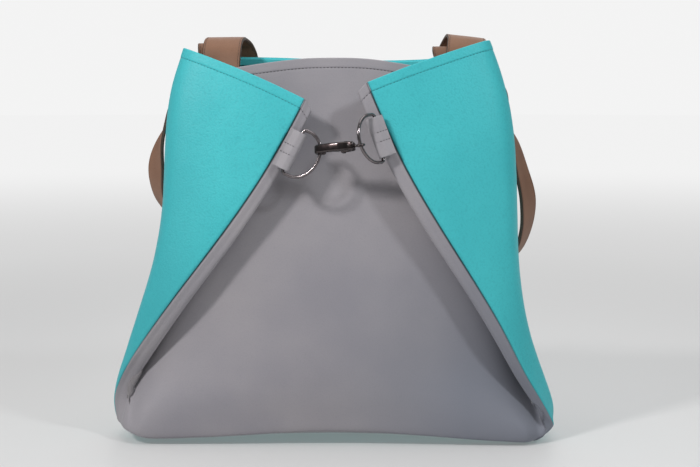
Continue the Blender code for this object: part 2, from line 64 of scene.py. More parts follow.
def newSurface(name):
    made = bpy.data.materials.new(name)
    made.use_nodes = True
    return made, made.node_tree.nodes, made.node_tree.links, made.node_tree.nodes["Principled BSDF"]


def mixColour(nodes, links, factor, first, second):
    mixer = nodes.new("ShaderNodeMix")
    mixer.data_type = "RGBA"
    for socket, value in ((mixer.inputs[0], factor), (mixer.inputs[6], first), (mixer.inputs[7], second)):
        if isinstance(value, bpy.types.NodeSocket):
            links.new(value, socket)
        else:
            socket.default_value = (*value, 1)
    return mixer.outputs[2]


def ranged(nodes, links, source, low, high, start, end, curve="LINEAR"):
    spread = nodes.new("ShaderNodeMapRange")
    spread.interpolation_type = curve
    for socket, value in (("From Min", low), ("From Max", high), ("To Min", start), ("To Max", end)):
        spread.inputs[socket].default_value = value
    links.new(source, spread.inputs["Value"])
    return spread.outputs[0]


def product(nodes, links, first, second):
    made = nodes.new("ShaderNodeMath")
    made.operation = "MULTIPLY"
    links.new(first, made.inputs[0])
    links.new(second, made.inputs[1])
    return made.outputs[0]


def noiseAt(nodes, links, vector, scale, detail):
    made = nodes.new("ShaderNodeTexNoise")
    made.inputs["Scale"].default_value = scale
    made.inputs["Detail"].default_value = detail
    links.new(vector, made.inputs["Vector"])
    return made


def blendShaders(nodes, links, factor, first, second, output):
    # two shaders mixed into the output
    blend = nodes.new("ShaderNodeMixShader")
    for number, socket in enumerate((factor, first, second)):
        links.new(socket, blend.inputs[number])
    links.new(blend.outputs[0], nodes[output].inputs["Surface"])


# ---- camera, light and floor
view = {"target": (0.015, -0.02, 0.205), "distance": 1.5, "elevation": 6.0, "lens": 78.58}
tilt = math.radians(view["elevation"])
cameraData = bpy.data.cameras.new("camera")
cameraData.lens = view["lens"]
cameraData.clip_end = 60
camera = placed("camera", cameraData)
away = Vector((0, -math.cos(tilt), math.sin(tilt)))
camera.location = Vector(view["target"]) + away * view["distance"]
camera.rotation_euler = (math.pi / 2 - tilt, 0, 0)
scene.camera = camera
scene.view_settings.view_transform = "Standard"

studio = {
    "left": {"place": (-1.2, -1.2, 1.45), "size": 0.24, "power": 26.0, "tint": (1, 0.975, 0.965)},
    "right": {"place": (1.25, -1.2, 1.45), "size": 0.24, "power": 13.0, "tint": (0.95, 0.98, 1)},
    "top": {"place": (0.0, 0.1, 2.1), "size": 1.4, "power": 11.0, "tint": (1, 1, 1)},
    "back": {"place": (0.2, 1.9, 1.3), "size": 1.6, "power": 9.0, "tint": (1, 1, 1)},
}
for name, lamp in studio.items():
    lampData = bpy.data.lights.new("softbox_" + name, "AREA")
    lampData.shape = "SQUARE"
    lampData.size = lamp["size"]
    lampData.energy = lamp["power"]
    lampData.color = lamp["tint"]
    softbox = placed("softbox_" + name, lampData)
    softbox.location = lamp["place"]
    aim = Vector((0, 0, 0.2)) - softbox.location
    softbox.rotation_euler = aim.to_track_quat("-Z", "Y").to_euler()

room = {
    "background": 0.9, "tint": (0.96, 0.985, 1, 1),
    # light from the room: its strength from below and above, and what is left of it from the front
    "dark": 0.12, "ambient": 0.44, "height": (-0.05, 0.6), "front": 0.55, "depth": (-1, 0.3),
}
world = bpy.data.worlds.new("studio")
world.use_nodes = True
scene.world = world
nodes, links = world.node_tree.nodes, world.node_tree.links
ambient = nodes["Background"]
ambient.inputs["Color"].default_value = room["tint"]
direction = nodes.new("ShaderNodeSeparateXYZ")
links.new(nodes.new("ShaderNodeTexCoord").outputs["Generated"], direction.inputs[0])
upward = ranged(nodes, links, direction.outputs["Z"], *room["height"], room["dark"], room["ambient"])
backward = ranged(nodes, links, direction.outputs["Y"], *room["depth"], room["front"], 1)
links.new(product(nodes, links, upward, backward), ambient.inputs["Strength"])
backdrop = nodes.new("ShaderNodeBackground")
backdrop.inputs["Color"].default_value = (1, 1, 1, 1)
backdrop.inputs["Strength"].default_value = room["background"]
seen = nodes.new("ShaderNodeLightPath").outputs["Is Camera Ray"]
blendShaders(nodes, links, seen, ambient.outputs[0], backdrop.outputs[0], "World Output")

floorLook = {
    "radius": 12.0, "drop": -0.0004, "pale": 0.46, "lift": 0.18, "liftTint": (1, 0.99, 0.98, 1),
    # distances over which the floor gives way to a plain glow, and over which the glow grows
    "fade": (0.45, 1.7), "sweep": (1.2, 4.4), "glow": (0.655, 0.885),
}
body = bmesh.new()
bmesh.ops.create_circle(body, cap_ends=True, segments=96, radius=floorLook["radius"])
floor = placed("floor", meshFrom(body, "floor"))
floor.location.z = floorLook["drop"]
floorPaint, nodes, links, shader = newSurface("pale_floor")
shader.inputs["Base Color"].default_value = (floorLook["pale"],) * 3 + (1,)
shader.inputs["Roughness"].default_value = 0.45
shader.inputs["Emission Color"].default_value = floorLook["liftTint"]
shader.inputs["Emission Strength"].default_value = floorLook["lift"]
shader.inputs["Specular IOR Level"].default_value = 0.25
reach = nodes.new("ShaderNodeVectorMath")
reach.operation = "LENGTH"
links.new(nodes.new("ShaderNodeTexCoord").outputs["Object"], reach.inputs[0])
reach = reach.outputs["Value"]
glow = nodes.new("ShaderNodeEmission")
growth = ranged(nodes, links, reach, *floorLook["sweep"], *floorLook["glow"], "SMOOTHSTEP")
links.new(growth, glow.inputs["Strength"])
fade = ranged(nodes, links, reach, *floorLook["fade"], 0, 1, "SMOOTHSTEP")
blendShaders(nodes, links, fade, shader.outputs[0], glow.outputs[0], "Material Output")
floor.data.materials.append(floorPaint)
print("camera, light and floor")


# ---- materials
def scaledSum(nodes, links, parts):
    # parts: (socket, weight) pairs added up
    total = None
    for socket, weight in parts:
        step = nodes.new("ShaderNodeMath")
        step.operation = "MULTIPLY_ADD"
        step.inputs[1].default_value = weight
        step.inputs[2].default_value = 0
        links.new(socket, step.inputs[0])
        if total:
            links.new(total, step.inputs[2])
        total = step.outputs[0]
    return total


def noisyNormal(nodes, links, shader, height, strength, depth):
    bump = nodes.new("ShaderNodeBump")
    bump.inputs["Strength"].default_value = strength
    bump.inputs["Distance"].default_value = depth * mm
    links.new(height, bump.inputs["Height"])
    links.new(bump.outputs[0], shader.inputs["Normal"])


def leather(look):
    made, nodes, links, shader = newSurface(look["name"])
    at = nodes.new("ShaderNodeTexCoord").outputs["Object"]
    patches = noiseAt(nodes, links, at, look["patchScale"], 3).outputs["Fac"]
    patches = ranged(nodes, links, patches, 0.32, 0.68, 0, 1)
    colour = mixColour(nodes, links, patches, look["deep"], look["light"])
    wander = noiseAt(nodes, links, at, look["poreScale"] * 0.45, 2)
    shift = nodes.new("ShaderNodeVectorMath")
    shift.operation = "MULTIPLY_ADD"
    links.new(wander.outputs["Color"], shift.inputs[0])
    shift.inputs[1].default_value = (look["wander"],) * 3
    links.new(at, shift.inputs[2])
    pores = nodes.new("ShaderNodeTexVoronoi")
    pores.feature = "SMOOTH_F1"
    pores.inputs["Scale"].default_value = look["poreScale"]
    links.new(shift.outputs[0], pores.inputs["Vector"])
    pebble = ranged(nodes, links, pores.outputs["Distance"], 0.15, 0.75, 1, 0)
    fine = noiseAt(nodes, links, at, look["fineScale"], 4).outputs["Fac"]
    creases = noiseAt(nodes, links, at, look["creaseScale"], 5).outputs["Fac"]
    valley = ranged(nodes, links, pebble, 0, 0.6, look["valley"], 0)
    colour = mixColour(nodes, links, valley, colour, look["dark"])
    grain = ranged(nodes, links, fine, 0.3, 0.7, 0, look["mottle"])
    colour = mixColour(nodes, links, grain, colour, look["dark"])
    for attribute, strength, shade in look["marks"]:
        mark = nodes.new("ShaderNodeAttribute")
        mark.attribute_name = attribute
        share = ranged(nodes, links, mark.outputs["Fac"], 0, 1, 0, strength)
        colour = mixColour(nodes, links, share, colour, shade)
    for across, upward, strength, shade in look.get("paintedShade", ()):
        # painted shade: a soft shift of the colour towards a shade colour between two places across the bag and two
        # heights, standing in for the side that the lamps light less
        spot = nodes.new("ShaderNodeSeparateXYZ")
        links.new(at, spot.inputs[0])
        side = ranged(nodes, links, spot.outputs["X"], *across, 0, strength)
        height = ranged(nodes, links, spot.outputs["Z"], *upward, 0, 1)
        colour = mixColour(nodes, links, product(nodes, links, side, height), colour, shade)
    links.new(colour, shader.inputs["Base Color"])
    rough = look["roughness"]
    links.new(ranged(nodes, links, fine, 0.3, 0.7, rough - 0.06, rough + 0.06), shader.inputs["Roughness"])
    grainParts = ((pebble, look["pebble"]), (fine, look["grit"]), (creases, look["crease"]))
    relief = scaledSum(nodes, links, grainParts)
    noisyNormal(nodes, links, shader, relief, look["bumpStrength"], look["bumpDepth"])
    shader.inputs["Specular IOR Level"].default_value = look["specular"]
    shader.inputs["Sheen Weight"].default_value = look["sheen"]
    shader.inputs["Sheen Roughness"].default_value = 0.5
    return made


tealLeather = leather({
    "name": "pebbled_teal", "light": (0.056, 0.51, 0.545), "deep": (0.044, 0.45, 0.49), "dark": (0.02, 0.26, 0.30),
    "patchScale": 11, "poreScale": 620, "wander": 0.0016, "fineScale": 2300, "creaseScale": 130,
    "valley": 0.22, "mottle": 0.12, "pebble": 0.55, "grit": 0.25, "crease": 1.1, "bumpStrength": 0.55,
    "bumpDepth": 0.35, "roughness": 0.52, "specular": 0.32, "sheen": 0.02,
    "marks": (("seamEdge", 0.8, (0.02, 0.12, 0.14)), ("stitchLine", 0.06, (0.03, 0.28, 0.32))),
    # painted shade: the teal darkens towards the bag's left side at every height, where its face turns away from the
    # light
    "paintedShade": (((-0.11, -0.17), (-0.1, 0.0), 0.6, (0.035, 0.33, 0.37)),),
})
greyLeather = leather({
    "name": "smooth_grey", "light": (0.33, 0.312, 0.33), "deep": (0.265, 0.255, 0.282), "dark": (0.17, 0.165, 0.185),
    "patchScale": 9, "poreScale": 900, "wander": 0.001, "fineScale": 2600, "creaseScale": 70,
    "valley": 0.10, "mottle": 0.10, "pebble": 0.25, "grit": 0.3, "crease": 0.9, "bumpStrength": 0.4,
    "bumpDepth": 0.25, "roughness": 0.68, "specular": 0.28, "sheen": 0.12,
    "marks": (("seamEdge", 0.85, (0.05, 0.05, 0.06)), ("stitchLine", 0.06, (0.14, 0.13, 0.15))),
    # painted shade: the grey turns darker and cooler towards the lower right, away from the main lamp on the left
    "paintedShade": (((-0.02, 0.13), (0.22, 0.06), 0.85, (0.17, 0.185, 0.225)),),
})
fleshSide = {
    "patchScale": 15, "poreScale": 1400, "wander": 0.001, "fineScale": 3200, "creaseScale": 90,
    "valley": 0.15, "mottle": 0.3, "pebble": 0.3, "grit": 0.8, "crease": 0.5, "bumpStrength": 0.6,
    "bumpDepth": 0.3, "specular": 0.12, "sheen": 0.3,
}
tealInside = leather({
    **fleshSide, "name": "teal_inside", "roughness": 0.88,
    "light": (0.10, 0.42, 0.44), "deep": (0.08, 0.35, 0.37), "dark": (0.04, 0.22, 0.24),
    "marks": (("turnedHem", 1.0, (0.08, 0.56, 0.60)), ("seamEdge", 0.6, (0.03, 0.12, 0.13))),
})
greyInside = leather({
    **fleshSide, "name": "grey_inside", "roughness": 0.9,
    "light": (0.25, 0.235, 0.245), "deep": (0.2, 0.19, 0.2), "dark": (0.12, 0.115, 0.12),
    "marks": (("turnedHem", 1.0, (0.30, 0.285, 0.30)), ("seamEdge", 0.6, (0.05, 0.05, 0.05))),
    # painted shade: the inner side darkens and cools towards the lower right, like the outer grey
    "paintedShade": (((-0.02, 0.13), (0.22, 0.06), 0.85, (0.12, 0.13, 0.16)),),
})
strapLeather = leather({
    "name": "brown_strap", "light": (0.25, 0.132, 0.081), "deep": (0.19, 0.097, 0.059), "dark": (0.088, 0.042, 0.026),
    "patchScale": 22, "poreScale": 1100, "wander": 0.0012, "fineScale": 2400, "creaseScale": 120,
    "valley": 0.15, "mottle": 0.22, "pebble": 0.3, "grit": 0.35, "crease": 0.8, "bumpStrength": 0.4,
    "bumpDepth": 0.25, "roughness": 0.56, "specular": 0.24, "sheen": 0.0,
    "marks": (("paintedEdge", 1.0, (0.055, 0.038, 0.028)), ("stitchLine", 0.45, (0.09, 0.05, 0.035))),
})
tabLeather = leather({
    "name": "grey_tab", "light": (0.325, 0.31, 0.33), "deep": (0.285, 0.272, 0.292), "dark": (0.18, 0.172, 0.188),
    "patchScale": 30, "poreScale": 950, "wander": 0.001, "fineScale": 2600, "creaseScale": 120,
    "valley": 0.1, "mottle": 0.1, "pebble": 0.3, "grit": 0.3, "crease": 0.6, "bumpStrength": 0.4,
    "bumpDepth": 0.22, "roughness": 0.62, "specular": 0.3, "sheen": 0.1,
    "marks": (("stitchLine", 0.15, (0.15, 0.14, 0.155)),),
})


def plainFinish(look):
    # edge paint, thread and metal: one colour worn and smudged by noise
    made, nodes, links, shader = newSurface(look["name"])
    at = nodes.new("ShaderNodeTexCoord").outputs["Object"]
    wear = noiseAt(nodes, links, at, look["wearScale"], 4).outputs["Fac"]
    worn = ranged(nodes, links, wear, 0.35, 0.65, 0, 1)
    links.new(mixColour(nodes, links, worn, look["colour"], look["worn"]), shader.inputs["Base Color"])
    smudge = noiseAt(nodes, links, at, look["wearScale"] * 0.3, 3).outputs["Fac"]
    links.new(ranged(nodes, links, smudge, 0.3, 0.7, *look["gloss"]), shader.inputs["Roughness"])
    shader.inputs["Metallic"].default_value = look["metal"]
    shader.inputs["Coat Weight"].default_value = look.get("coat", 0)
    shader.inputs["Coat Roughness"].default_value = 0.08
    noisyNormal(nodes, links, shader, wear, look["bump"], 0.05)
    return made


edgePaint = plainFinish({
    "name": "edge_paint", "colour": (0.06, 0.042, 0.032), "worn": (0.10, 0.066, 0.048),
    "wearScale": 500, "gloss": (0.4, 0.55), "metal": 0.0, "bump": 0.3,
})
thread = {"wearScale": 1800, "gloss": (0.6, 0.75), "metal": 0.0, "bump": 0.5}
brownThread = plainFinish({
    **thread, "name": "brown_thread", "colour": (0.07, 0.042, 0.03), "worn": (0.11, 0.068, 0.05),
})
tealThread = plainFinish({
    **thread, "name": "teal_thread", "colour": (0.02, 0.20, 0.23), "worn": (0.03, 0.27, 0.30),
})
greyThread = plainFinish({
    **thread, "name": "grey_thread", "colour": (0.05, 0.048, 0.058), "worn": (0.085, 0.08, 0.095),
})
nickel = plainFinish({
    "name": "bright_nickel", "colour": (0.225, 0.2, 0.205), "worn": (0.17, 0.15, 0.155),
    "wearScale": 300, "gloss": (0.14, 0.22), "metal": 1.0, "bump": 0.05,
})
gunmetal = plainFinish({
    "name": "brown_gunmetal", "colour": (0.052, 0.038, 0.038), "worn": (0.034, 0.026, 0.026),
    "wearScale": 350, "gloss": (0.13, 0.24), "metal": 1.0, "bump": 0.06, "coat": 0.7,
})
print("materials")


# ---- the two leather panels
shape = {
    "heights": (10, 35, 60, 85, 115, 150, 190, 230, 270, 310, 345, 385),
    "left": {
        "sideX": (-217, -227.5, -219, -207.5, -199, -190.5, -172, -169, -170, -167, -164, -149),
        "sideFrontY": (12, 5, -10, -22, -32, -37, -38, -37, -35, -31, -26, -18),
        "sideBackY": (26, 29, 30, 30, 29, 27, 24, 21, 19, 17, 15, 14),
        "seamX": (-219, -226, -216, -199, -178.5, -152.5, -121, -90, -64, -41.5, -24, -6),
        "seamY": (-1, -5, -22, -37, -49, -56, -60, -60, -57, -52, -46, -40),
        "foldX": (-190, -190, -189, -179, -158, -132, -101, -73, -47, -26.5, -11, 4),
        "pleatX": (-205, -204, -201, -194, -184, -171, -154, -148, -145, -141, -136, -124),
        "recessY": (-52, -54, -50, -42, -38, -40, -42, -40, -35, -28, -20, -12),
        "pleatShare": (0, 0.35, 0.85, 1, 1, 1, 1, 1, 1, 1, 1, 1),
        "seamTop": 337, "cornerTop": 386, "foldTop": 325, "pleatTop": 360, "recessTop": 369,
        "hemLift": 3.0, "backRise": 4, "halfLength": 194, "underLift": 0.5, "endRise": 3.5, "tipLift": 1.5,
    },
    "right": {
        "sideX": (226, 221, 210, 200, 191, 182.5, 180, 181, 181.5, 178, 172, 153),
        "sideFrontY": (-2, -6, -16, -26, -34, -38, -39, -38, -36, -32, -27, -19),
        "sideBackY": (24, 28, 30, 30, 29, 27, 24, 21, 19, 17, 15, 14),
        "seamX": (221, 208, 191, 177, 164, 143, 117, 91.5, 68, 49.5, 33, 24),
        "seamY": (-26, -38, -47, -54, -60, -64, -65, -63, -59, -53, -47, -40),
        "foldX": (190, 189, 176, 163, 148, 126, 98, 72, 51, 32, 20, 10),
        "pleatX": (206, 203, 196, 188, 181, 171, 165, 162, 159, 154, 147, 132),
        "recessY": (-58, -56, -44, -40, -42, -44, -44, -40, -35, -28, -20, -12),
        "pleatShare": (0, 0.75, 0.95, 1, 1, 1, 1, 1, 1, 1, 1, 1),
        "seamTop": 353, "cornerTop": 391, "foldTop": 343, "pleatTop": 362, "recessTop": 366,
        "hemLift": 2.0, "backRise": 0, "halfLength": 202, "underLift": -2, "endRise": 0.0, "tipLift": 4.5,
    },
    "frontY": (-53, -58, -60, -59, -56, -51, -44, -37, -30, -21, -13, -6),
    "backY": (43, 49, 51, 51, 49, 46, 43, 40, 37, 35, 34, 33),
    "wallRows": (0.045, 0.12, 0.21, 0.32, 0.46, 0.61, 0.76, 0.89, 1.0),
    "underRows": (0.0, 0.3, 0.64, 0.92),
    "frontTop": 377, "backTop": 374, "archRise": 11,
    "baseSeamY": -40, "baseSeamZ": 3.2, "baseSeamRise": 8.0, "endFrom": 163, "endReach": 36,
}


def smoothStep(share):
    share = np.clip(share, 0.0, 1.0)
    return share * share * (3 - 2 * share)


def atHeight(values, z):
    return float(np.interp(z, shape["heights"], values))


def mixPoint(a, b, share):
    return tuple(p + (q - p) * share for p, q in zip(a, b))


def lengthsAlong(points):
    # the distance of each point from the first one of its line, along the line
    steps = np.linalg.norm(np.diff(points, axis=-2), axis=-1)
    return np.concatenate([np.zeros((*steps.shape[:-1], 1)), np.cumsum(steps, axis=-1)], axis=-1)


def roundedEdge(fromEdge, radius):
    # how far an edge rounded to this radius sets a face back
    return radius * (1 - np.sqrt(np.clip(1 - (1 - np.clip(fromEdge / radius, 0, 1)) ** 2, 0, 1)))


def tealHalf(half, share):
    # one wall row of the teal panel, from the front seam round the side to beside the middle of the back
    seamZ = share * half["seamTop"]
    cornerZ = share * half["cornerTop"]
    seam = (atHeight(half["seamX"], seamZ), atHeight(half["seamY"], seamZ), seamZ)
    sideX = atHeight(half["sideX"], cornerZ)
    tip = half["tipLift"] * float(smoothStep((share - 0.8) / 0.2))
    front = (sideX, atHeight(half["sideFrontY"], cornerZ), cornerZ + tip)
    back = (sideX, atHeight(half["sideBackY"], cornerZ), cornerZ - 1 + tip / 2)
    backZ = share * shape["backTop"]
    backY = atHeight(shape["backY"], backZ)
    flap = mixPoint(seam, front, 0.35)
    outer = mixPoint(seam, front, 0.72)
    bulge = 3.0 * float(smoothStep((cornerZ - 60) / 120))
    lift = half["hemLift"] * float(smoothStep((share - 0.8) / 0.2))
    return [
        seam,
        (flap[0], flap[1] - bulge, flap[2] + lift),
        (outer[0], outer[1] - bulge, outer[2] + lift * 0.6),
        front,
        back,
        (sideX * 0.84, backY - 3, share * (shape["backTop"] + 3)),
        (sideX * 0.42, backY, share * (shape["backTop"] + half["backRise"])),
    ]


def seamUnder(sign, half, share):
    # the seam round the bottom corner: 0 is the end of the bottom seam, 1 the wall
    z = shape["wallRows"][0] * half["seamTop"]
    start = (sign * half["halfLength"], shape["baseSeamY"], shape["baseSeamZ"] + 4)
    x, y, height = mixPoint(start, (atHeight(half["seamX"], z), atHeight(half["seamY"], z), z), share)
    return x, y, height - 9 * share * (1 - share)


def endRise(half, x):
    # how far the ends of the base are off the floor
    return half["endRise"] * float(smoothStep((abs(x) - shape["endFrom"]) / shape["endReach"]))


def tealRows():
    # share along the corner's seam, then distance back, height at the sides and lift in the middle
    base = (
        (0.0, shape["baseSeamY"], shape["baseSeamZ"], 9), (0.26, -29, 2.3, 12), (0.5, -3, -0.4, 10.5),
        (0.74, 23, -1.0, 7), (0.93, 42, -1.0, 3.5),
    )
    spread = (1.0, 0.985, 0.96, 0.93, 0.85, 0.66, 0.36)
    level = (0.0, 0.14, 0.36, 0.68, 1, 1, 1)
    arched = (0, 0, 0, 0, 0.1, 0.45, 0.9)
    rows = []
    for share, y, z, lift in base:
        halves = []
        for sign, half in ((-1, shape["left"]), (1, shape["right"])):
            endX, endY, endZ = seamUnder(sign, half, share)
            points = []
            for part, flat, bow in zip(spread, level, arched):
                rise = endRise(half, endX * part) * (1 - share)
                points.append((endX * part, endY + (y - endY) * flat, endZ + (z - endZ) * flat + lift * bow + rise))
            halves.append(points)
        rows.append(halves[0] + [(0, y, z + lift)] + halves[1][::-1])
    for share in shape["wallRows"]:
        z = share * shape["backTop"]
        middle = [(0, atHeight(shape["backY"], z), z)]
        rows.append(tealHalf(shape["left"], share) + middle + tealHalf(shape["right"], share)[::-1])
    return rows


def greyHalf(sign, half, share):
    # one wall row of the grey panel: seam, flap's edge, hidden fold, then the front
    seamZ, foldZ, pleatZ, recessZ = (share * half[top] for top in ("seamTop", "foldTop", "pleatTop", "recessTop"))
    frontZ = share * shape["frontTop"]
    seam = (atHeight(half["seamX"], seamZ), atHeight(half["seamY"], seamZ), seamZ)
    fold = atHeight(half["foldX"], foldZ)
    pleat = atHeight(half["pleatX"], pleatZ)
    recessY = atHeight(half["recessY"], recessZ)
    foldY = atHeight(half["seamY"], foldZ)
    innerY = atHeight(half["sideFrontY"], pleatZ) + 9
    pleated = [
        seam,
        ((seam[0] + fold) / 2, seam[1] - 1.5, (seamZ + foldZ) / 2),
        (fold, foldY, foldZ),
        (fold, foldY + 9, foldZ),
        (fold + sign * 9, foldY + 10, foldZ + 2),
        ((fold + pleat) / 2, (foldY + 10 + innerY) / 2, (foldZ + pleatZ) / 2),
        (pleat, innerY, pleatZ),
        (pleat, innerY + 9, pleatZ),
        (pleat * 0.86, innerY + 9 + (recessY - innerY - 9) * 0.75, (pleatZ + recessZ) / 2),
        (pleat * 0.68, recessY, recessZ),
    ]
    frontY = atHeight(shape["frontY"], frontZ)
    recess = [(pleat * 0.46, (recessY + frontY) / 2, (recessZ + frontZ) / 2), (pleat * 0.22, frontY, frontZ)]
    # where nothing is folded, the row goes plainly round the bottom corner
    cornerX, cornerY = atHeight(half["foldX"], seamZ), atHeight(half["recessY"], seamZ)
    plain = []
    for k in range(len(pleated)):
        turn = math.pi / 2 * k / (len(pleated) - 1)
        x = cornerX + (seam[0] - cornerX) * math.cos(turn)
        plain.append((x, seam[1] + (cornerY - seam[1]) * math.sin(turn), frontZ))
    keep = atHeight(half["pleatShare"], foldZ)
    return [mixPoint(p, q, keep) for p, q in zip(plain, pleated)] + recess


def greyRows():
    middleZ = shape["baseSeamZ"] + shape["baseSeamRise"]
    # height of each row under the bag in the middle and at the corners, and its share of the side's lift
    under = ((middleZ, shape["baseSeamZ"], 0), (middleZ, 0.3, 0.5), (middleZ + 1, -0.4, 0.7), (middleZ + 4, 0.9, 1))
    sides = ((-1, shape["left"]), (1, shape["right"]))
    first = [greyHalf(sign, half, shape["wallRows"][0]) for sign, half in sides]
    spread = (1.0, 0.995, 0.99, 0.985, 0.98, 0.97, 0.955, 0.935, 0.905, 0.86, 0.64, 0.32)
    level = (0.0, 0.08, 0.16, 0.26, 0.38, 0.5, 0.64, 0.78, 0.92, 1, 1, 1)
    arched = (0, 0, 0, 0, 0, 0.01, 0.03, 0.06, 0.12, 0.22, 0.55, 0.9)
    rows = []
    for share, (middle, corner, lifted) in zip(shape["underRows"], under):
        halves = []
        for (sign, half), wall in zip(sides, first):
            end = seamUnder(sign, half, share)
            start = seamUnder(sign, half, 0)
            drop = 0.9 * (1 - share)
            low = corner + half["underLift"] * lifted
            points = [(end[0], end[1], end[2] - drop + endRise(half, end[0]) * (1 - share))]
            for k in range(1, len(spread)):
                x, y, _ = mixPoint((start[0] * spread[k], shape["baseSeamY"], 0), wall[k], share)
                z = end[2] + (low - end[2]) * level[k] - drop + (middle - low) * arched[k]
                points.append((x, y, z + endRise(half, x) * (1 - share * max(0, 1 - k / 6))))
            halves.append(points)
        y = shape["baseSeamY"] + (first[0][-1][1] - shape["baseSeamY"]) * share
        rows.append(halves[0] + [(0, y, middle)] + halves[1][::-1])
    for share in shape["wallRows"]:
        z = share * shape["frontTop"]
        middle = [(0, atHeight(shape["frontY"], z), z)]
        row = greyHalf(*sides[0], share) + middle + greyHalf(*sides[1], share)[::-1]
        arch = shape["archRise"] * (1 - float(smoothStep(share / 0.2)))
        rows.append([(x, y, z + arch * max(0, 1 - (x / 200) ** 2)) for x, y, z in row])
    return rows


def splineWeights(count, steps):
    # weights of a cubic B-spline whose ends pass through the end points, at evenly spaced places
    at = np.linspace(0, count - 1, steps)
    cell = np.minimum(at.astype(int), count - 2)
    t = at - cell
    basis = np.stack([(1 - t) ** 3, 3 * t**3 - 6 * t**2 + 4, -3 * t**3 + 3 * t**2 + 3 * t + 1, t**3]) / 6
    weights = np.zeros((steps, count + 2))
    for k in range(4):
        weights[np.arange(steps), cell + k] += basis[k]
    ends = np.zeros((count + 2, count))
    ends[1:-1] = np.eye(count)
    ends[0, 0], ends[0, 1] = 2, -1
    ends[-1, -1], ends[-1, -2] = 2, -1
    return weights @ ends


def respaced(points, start, end, between):
    # each row gets places at the given distances from its two ends, and evenly numbered ones between
    number = np.arange(points.shape[1])
    near = np.array(start)
    found, fromStart, fromEnd = [], [], []
    for line, along in zip(points, lengthsAlong(points[..., :3])):
        far = along[-1] - np.array(end)[::-1]
        first, last = np.interp(near[-1], along, number), np.interp(far[0], along, number)
        span = np.linspace(first, last, between + 2)[1:-1]
        places = np.concatenate([near, np.interp(span, number, along), far])
        found.append(np.stack([np.interp(places, along, column) for column in line.T], axis=1))
        fromStart.append(places)
        fromEnd.append(along[-1] - places)
    return np.array(found), np.array(fromStart), np.array(fromEnd)


def inwardOf(points):
    # unit vectors into the bag: columns run left round the bag to the right, rows upwards
    across = np.gradient(points, axis=1)
    up = np.gradient(points, axis=0)
    inward = np.cross(across, up)
    return inward / np.maximum(np.linalg.norm(inward, axis=2, keepdims=True), 1e-9)


def noiseField(points, size, seed):
    flat = points.reshape(-1, 3) / size + seed
    return np.array([noise.noise(Vector(p)) for p in flat]).reshape(points.shape[:2])


panelDetail = {
    "seamMarks": (0, 0.35, 0.8, 1.4, 2.1, 3.0, 4.2),
    "topMarks": (0, 0.12, 0.4, 0.8, 1.3, 2.2, 4, 6, 7.8, 8.8, 9.2, 9.5, 9.8, 10.1, 10.4, 10.9, 12, 14),
    "bottomMarks": (0, 0.4, 0.9, 1.6, 2.6, 4),
    "seamGap": 0.32, "hem": 9.8, "hemRaise": 0.45, "hemBand": 21, "edgeRound": 1.1, "wall": 1.8,
    "rollReach": 2.8, "dip": 0.26, "pucker": 0.26, "proudFrom": 8,
    # the bottom corners, where the wall is thinner: from this far out, up to this height, and how much
    "cornerFrom": 165, "cornerReach": 20, "cornerTop": 25, "cornerFade": 25, "cornerThin": 0.6,
}


def panelSurface(rows, columns, lines, proud):
    # the outer face of a panel as a grid of points, with the distances from its edges, in millimetres
    cage = np.array(rows, float)
    dense = np.einsum("ar,rcx->acx", splineWeights(cage.shape[0], (cage.shape[0] - 1) * 30 + 1), cage)
    dense = np.einsum("bc,acx->abx", splineWeights(cage.shape[1], (cage.shape[1] - 1) * 30 + 1), dense)
    detail = panelDetail
    gap = detail["seamGap"]
    seamMarks = [mark + gap for mark in detail["seamMarks"]]
    points, fromLeft, fromRight = respaced(dense, seamMarks, seamMarks, columns)
    fromSeam = np.minimum(fromLeft, fromRight) - gap
    both = np.swapaxes(np.concatenate([points, fromSeam[:, :, None]], axis=2), 0, 1)
    bottomMarks = [mark + gap for mark in detail["bottomMarks"]]
    grid, fromBottom, fromTop = respaced(both, bottomMarks, detail["topMarks"], lines)
    grid = np.swapaxes(grid, 0, 1)
    points, fromSeam = grid[:, :, :3], grid[:, :, 3]
    fromBottom, fromTop = fromBottom.T - gap, fromTop.T
    if proud:
        # the grey cage is the wall's inner face, so its outer face stands a wall further out, but not at the seam
        fromJoin = np.minimum(fromSeam, fromBottom)[:, :, None]
        points = points + inwardOf(points) * detail["wall"] * smoothStep(fromJoin / detail["proudFrom"])
    return points, fromSeam, fromBottom, fromTop


def gridMesh(name, points, fields, materials):
    # a mesh grid from rows of points in millimetres, with number fields as attributes
    lines, columns = points.shape[:2]
    body = bmesh.new()
    bmesh.ops.create_grid(body, x_segments=columns - 1, y_segments=lines - 1, size=0.5)
    spots = [vertex.co + Vector((0.5, 0.5, 0)) for vertex in body.verts]
    order = np.array([(round(spot.y * (lines - 1)), round(spot.x * (columns - 1))) for spot in spots])
    mesh = meshFrom(body, name)
    mesh.vertices.foreach_set("co", (points[order[:, 0], order[:, 1]] * mm).ravel())
    for field, values in fields.items():
        made = mesh.attributes.new(field, "FLOAT", "POINT")
        made.data.foreach_set("value", values[order[:, 0], order[:, 1]].astype(np.float32))
    smoothed(mesh)
    for surface in materials:
        mesh.materials.append(surface)
    return placed(name, mesh), order


def giveWall(piece, order, wall, offset, inside, rim):
    # a wall whose thickness in millimetres changes over the grid
    thick = float(wall.max())
    shares = (wall / thick)[order[:, 0], order[:, 1]].round(3)
    group = piece.vertex_groups.new(name="wall")
    for step in np.unique(shares):
        group.add([int(k) for k in np.nonzero(shares == step)[0]], float(step), "REPLACE")
    solid = piece.modifiers.new("wall", "SOLIDIFY")
    solid.thickness = thick * mm
    solid.offset = offset
    solid.vertex_group = "wall"
    solid.material_offset = inside
    solid.material_offset_rim = rim


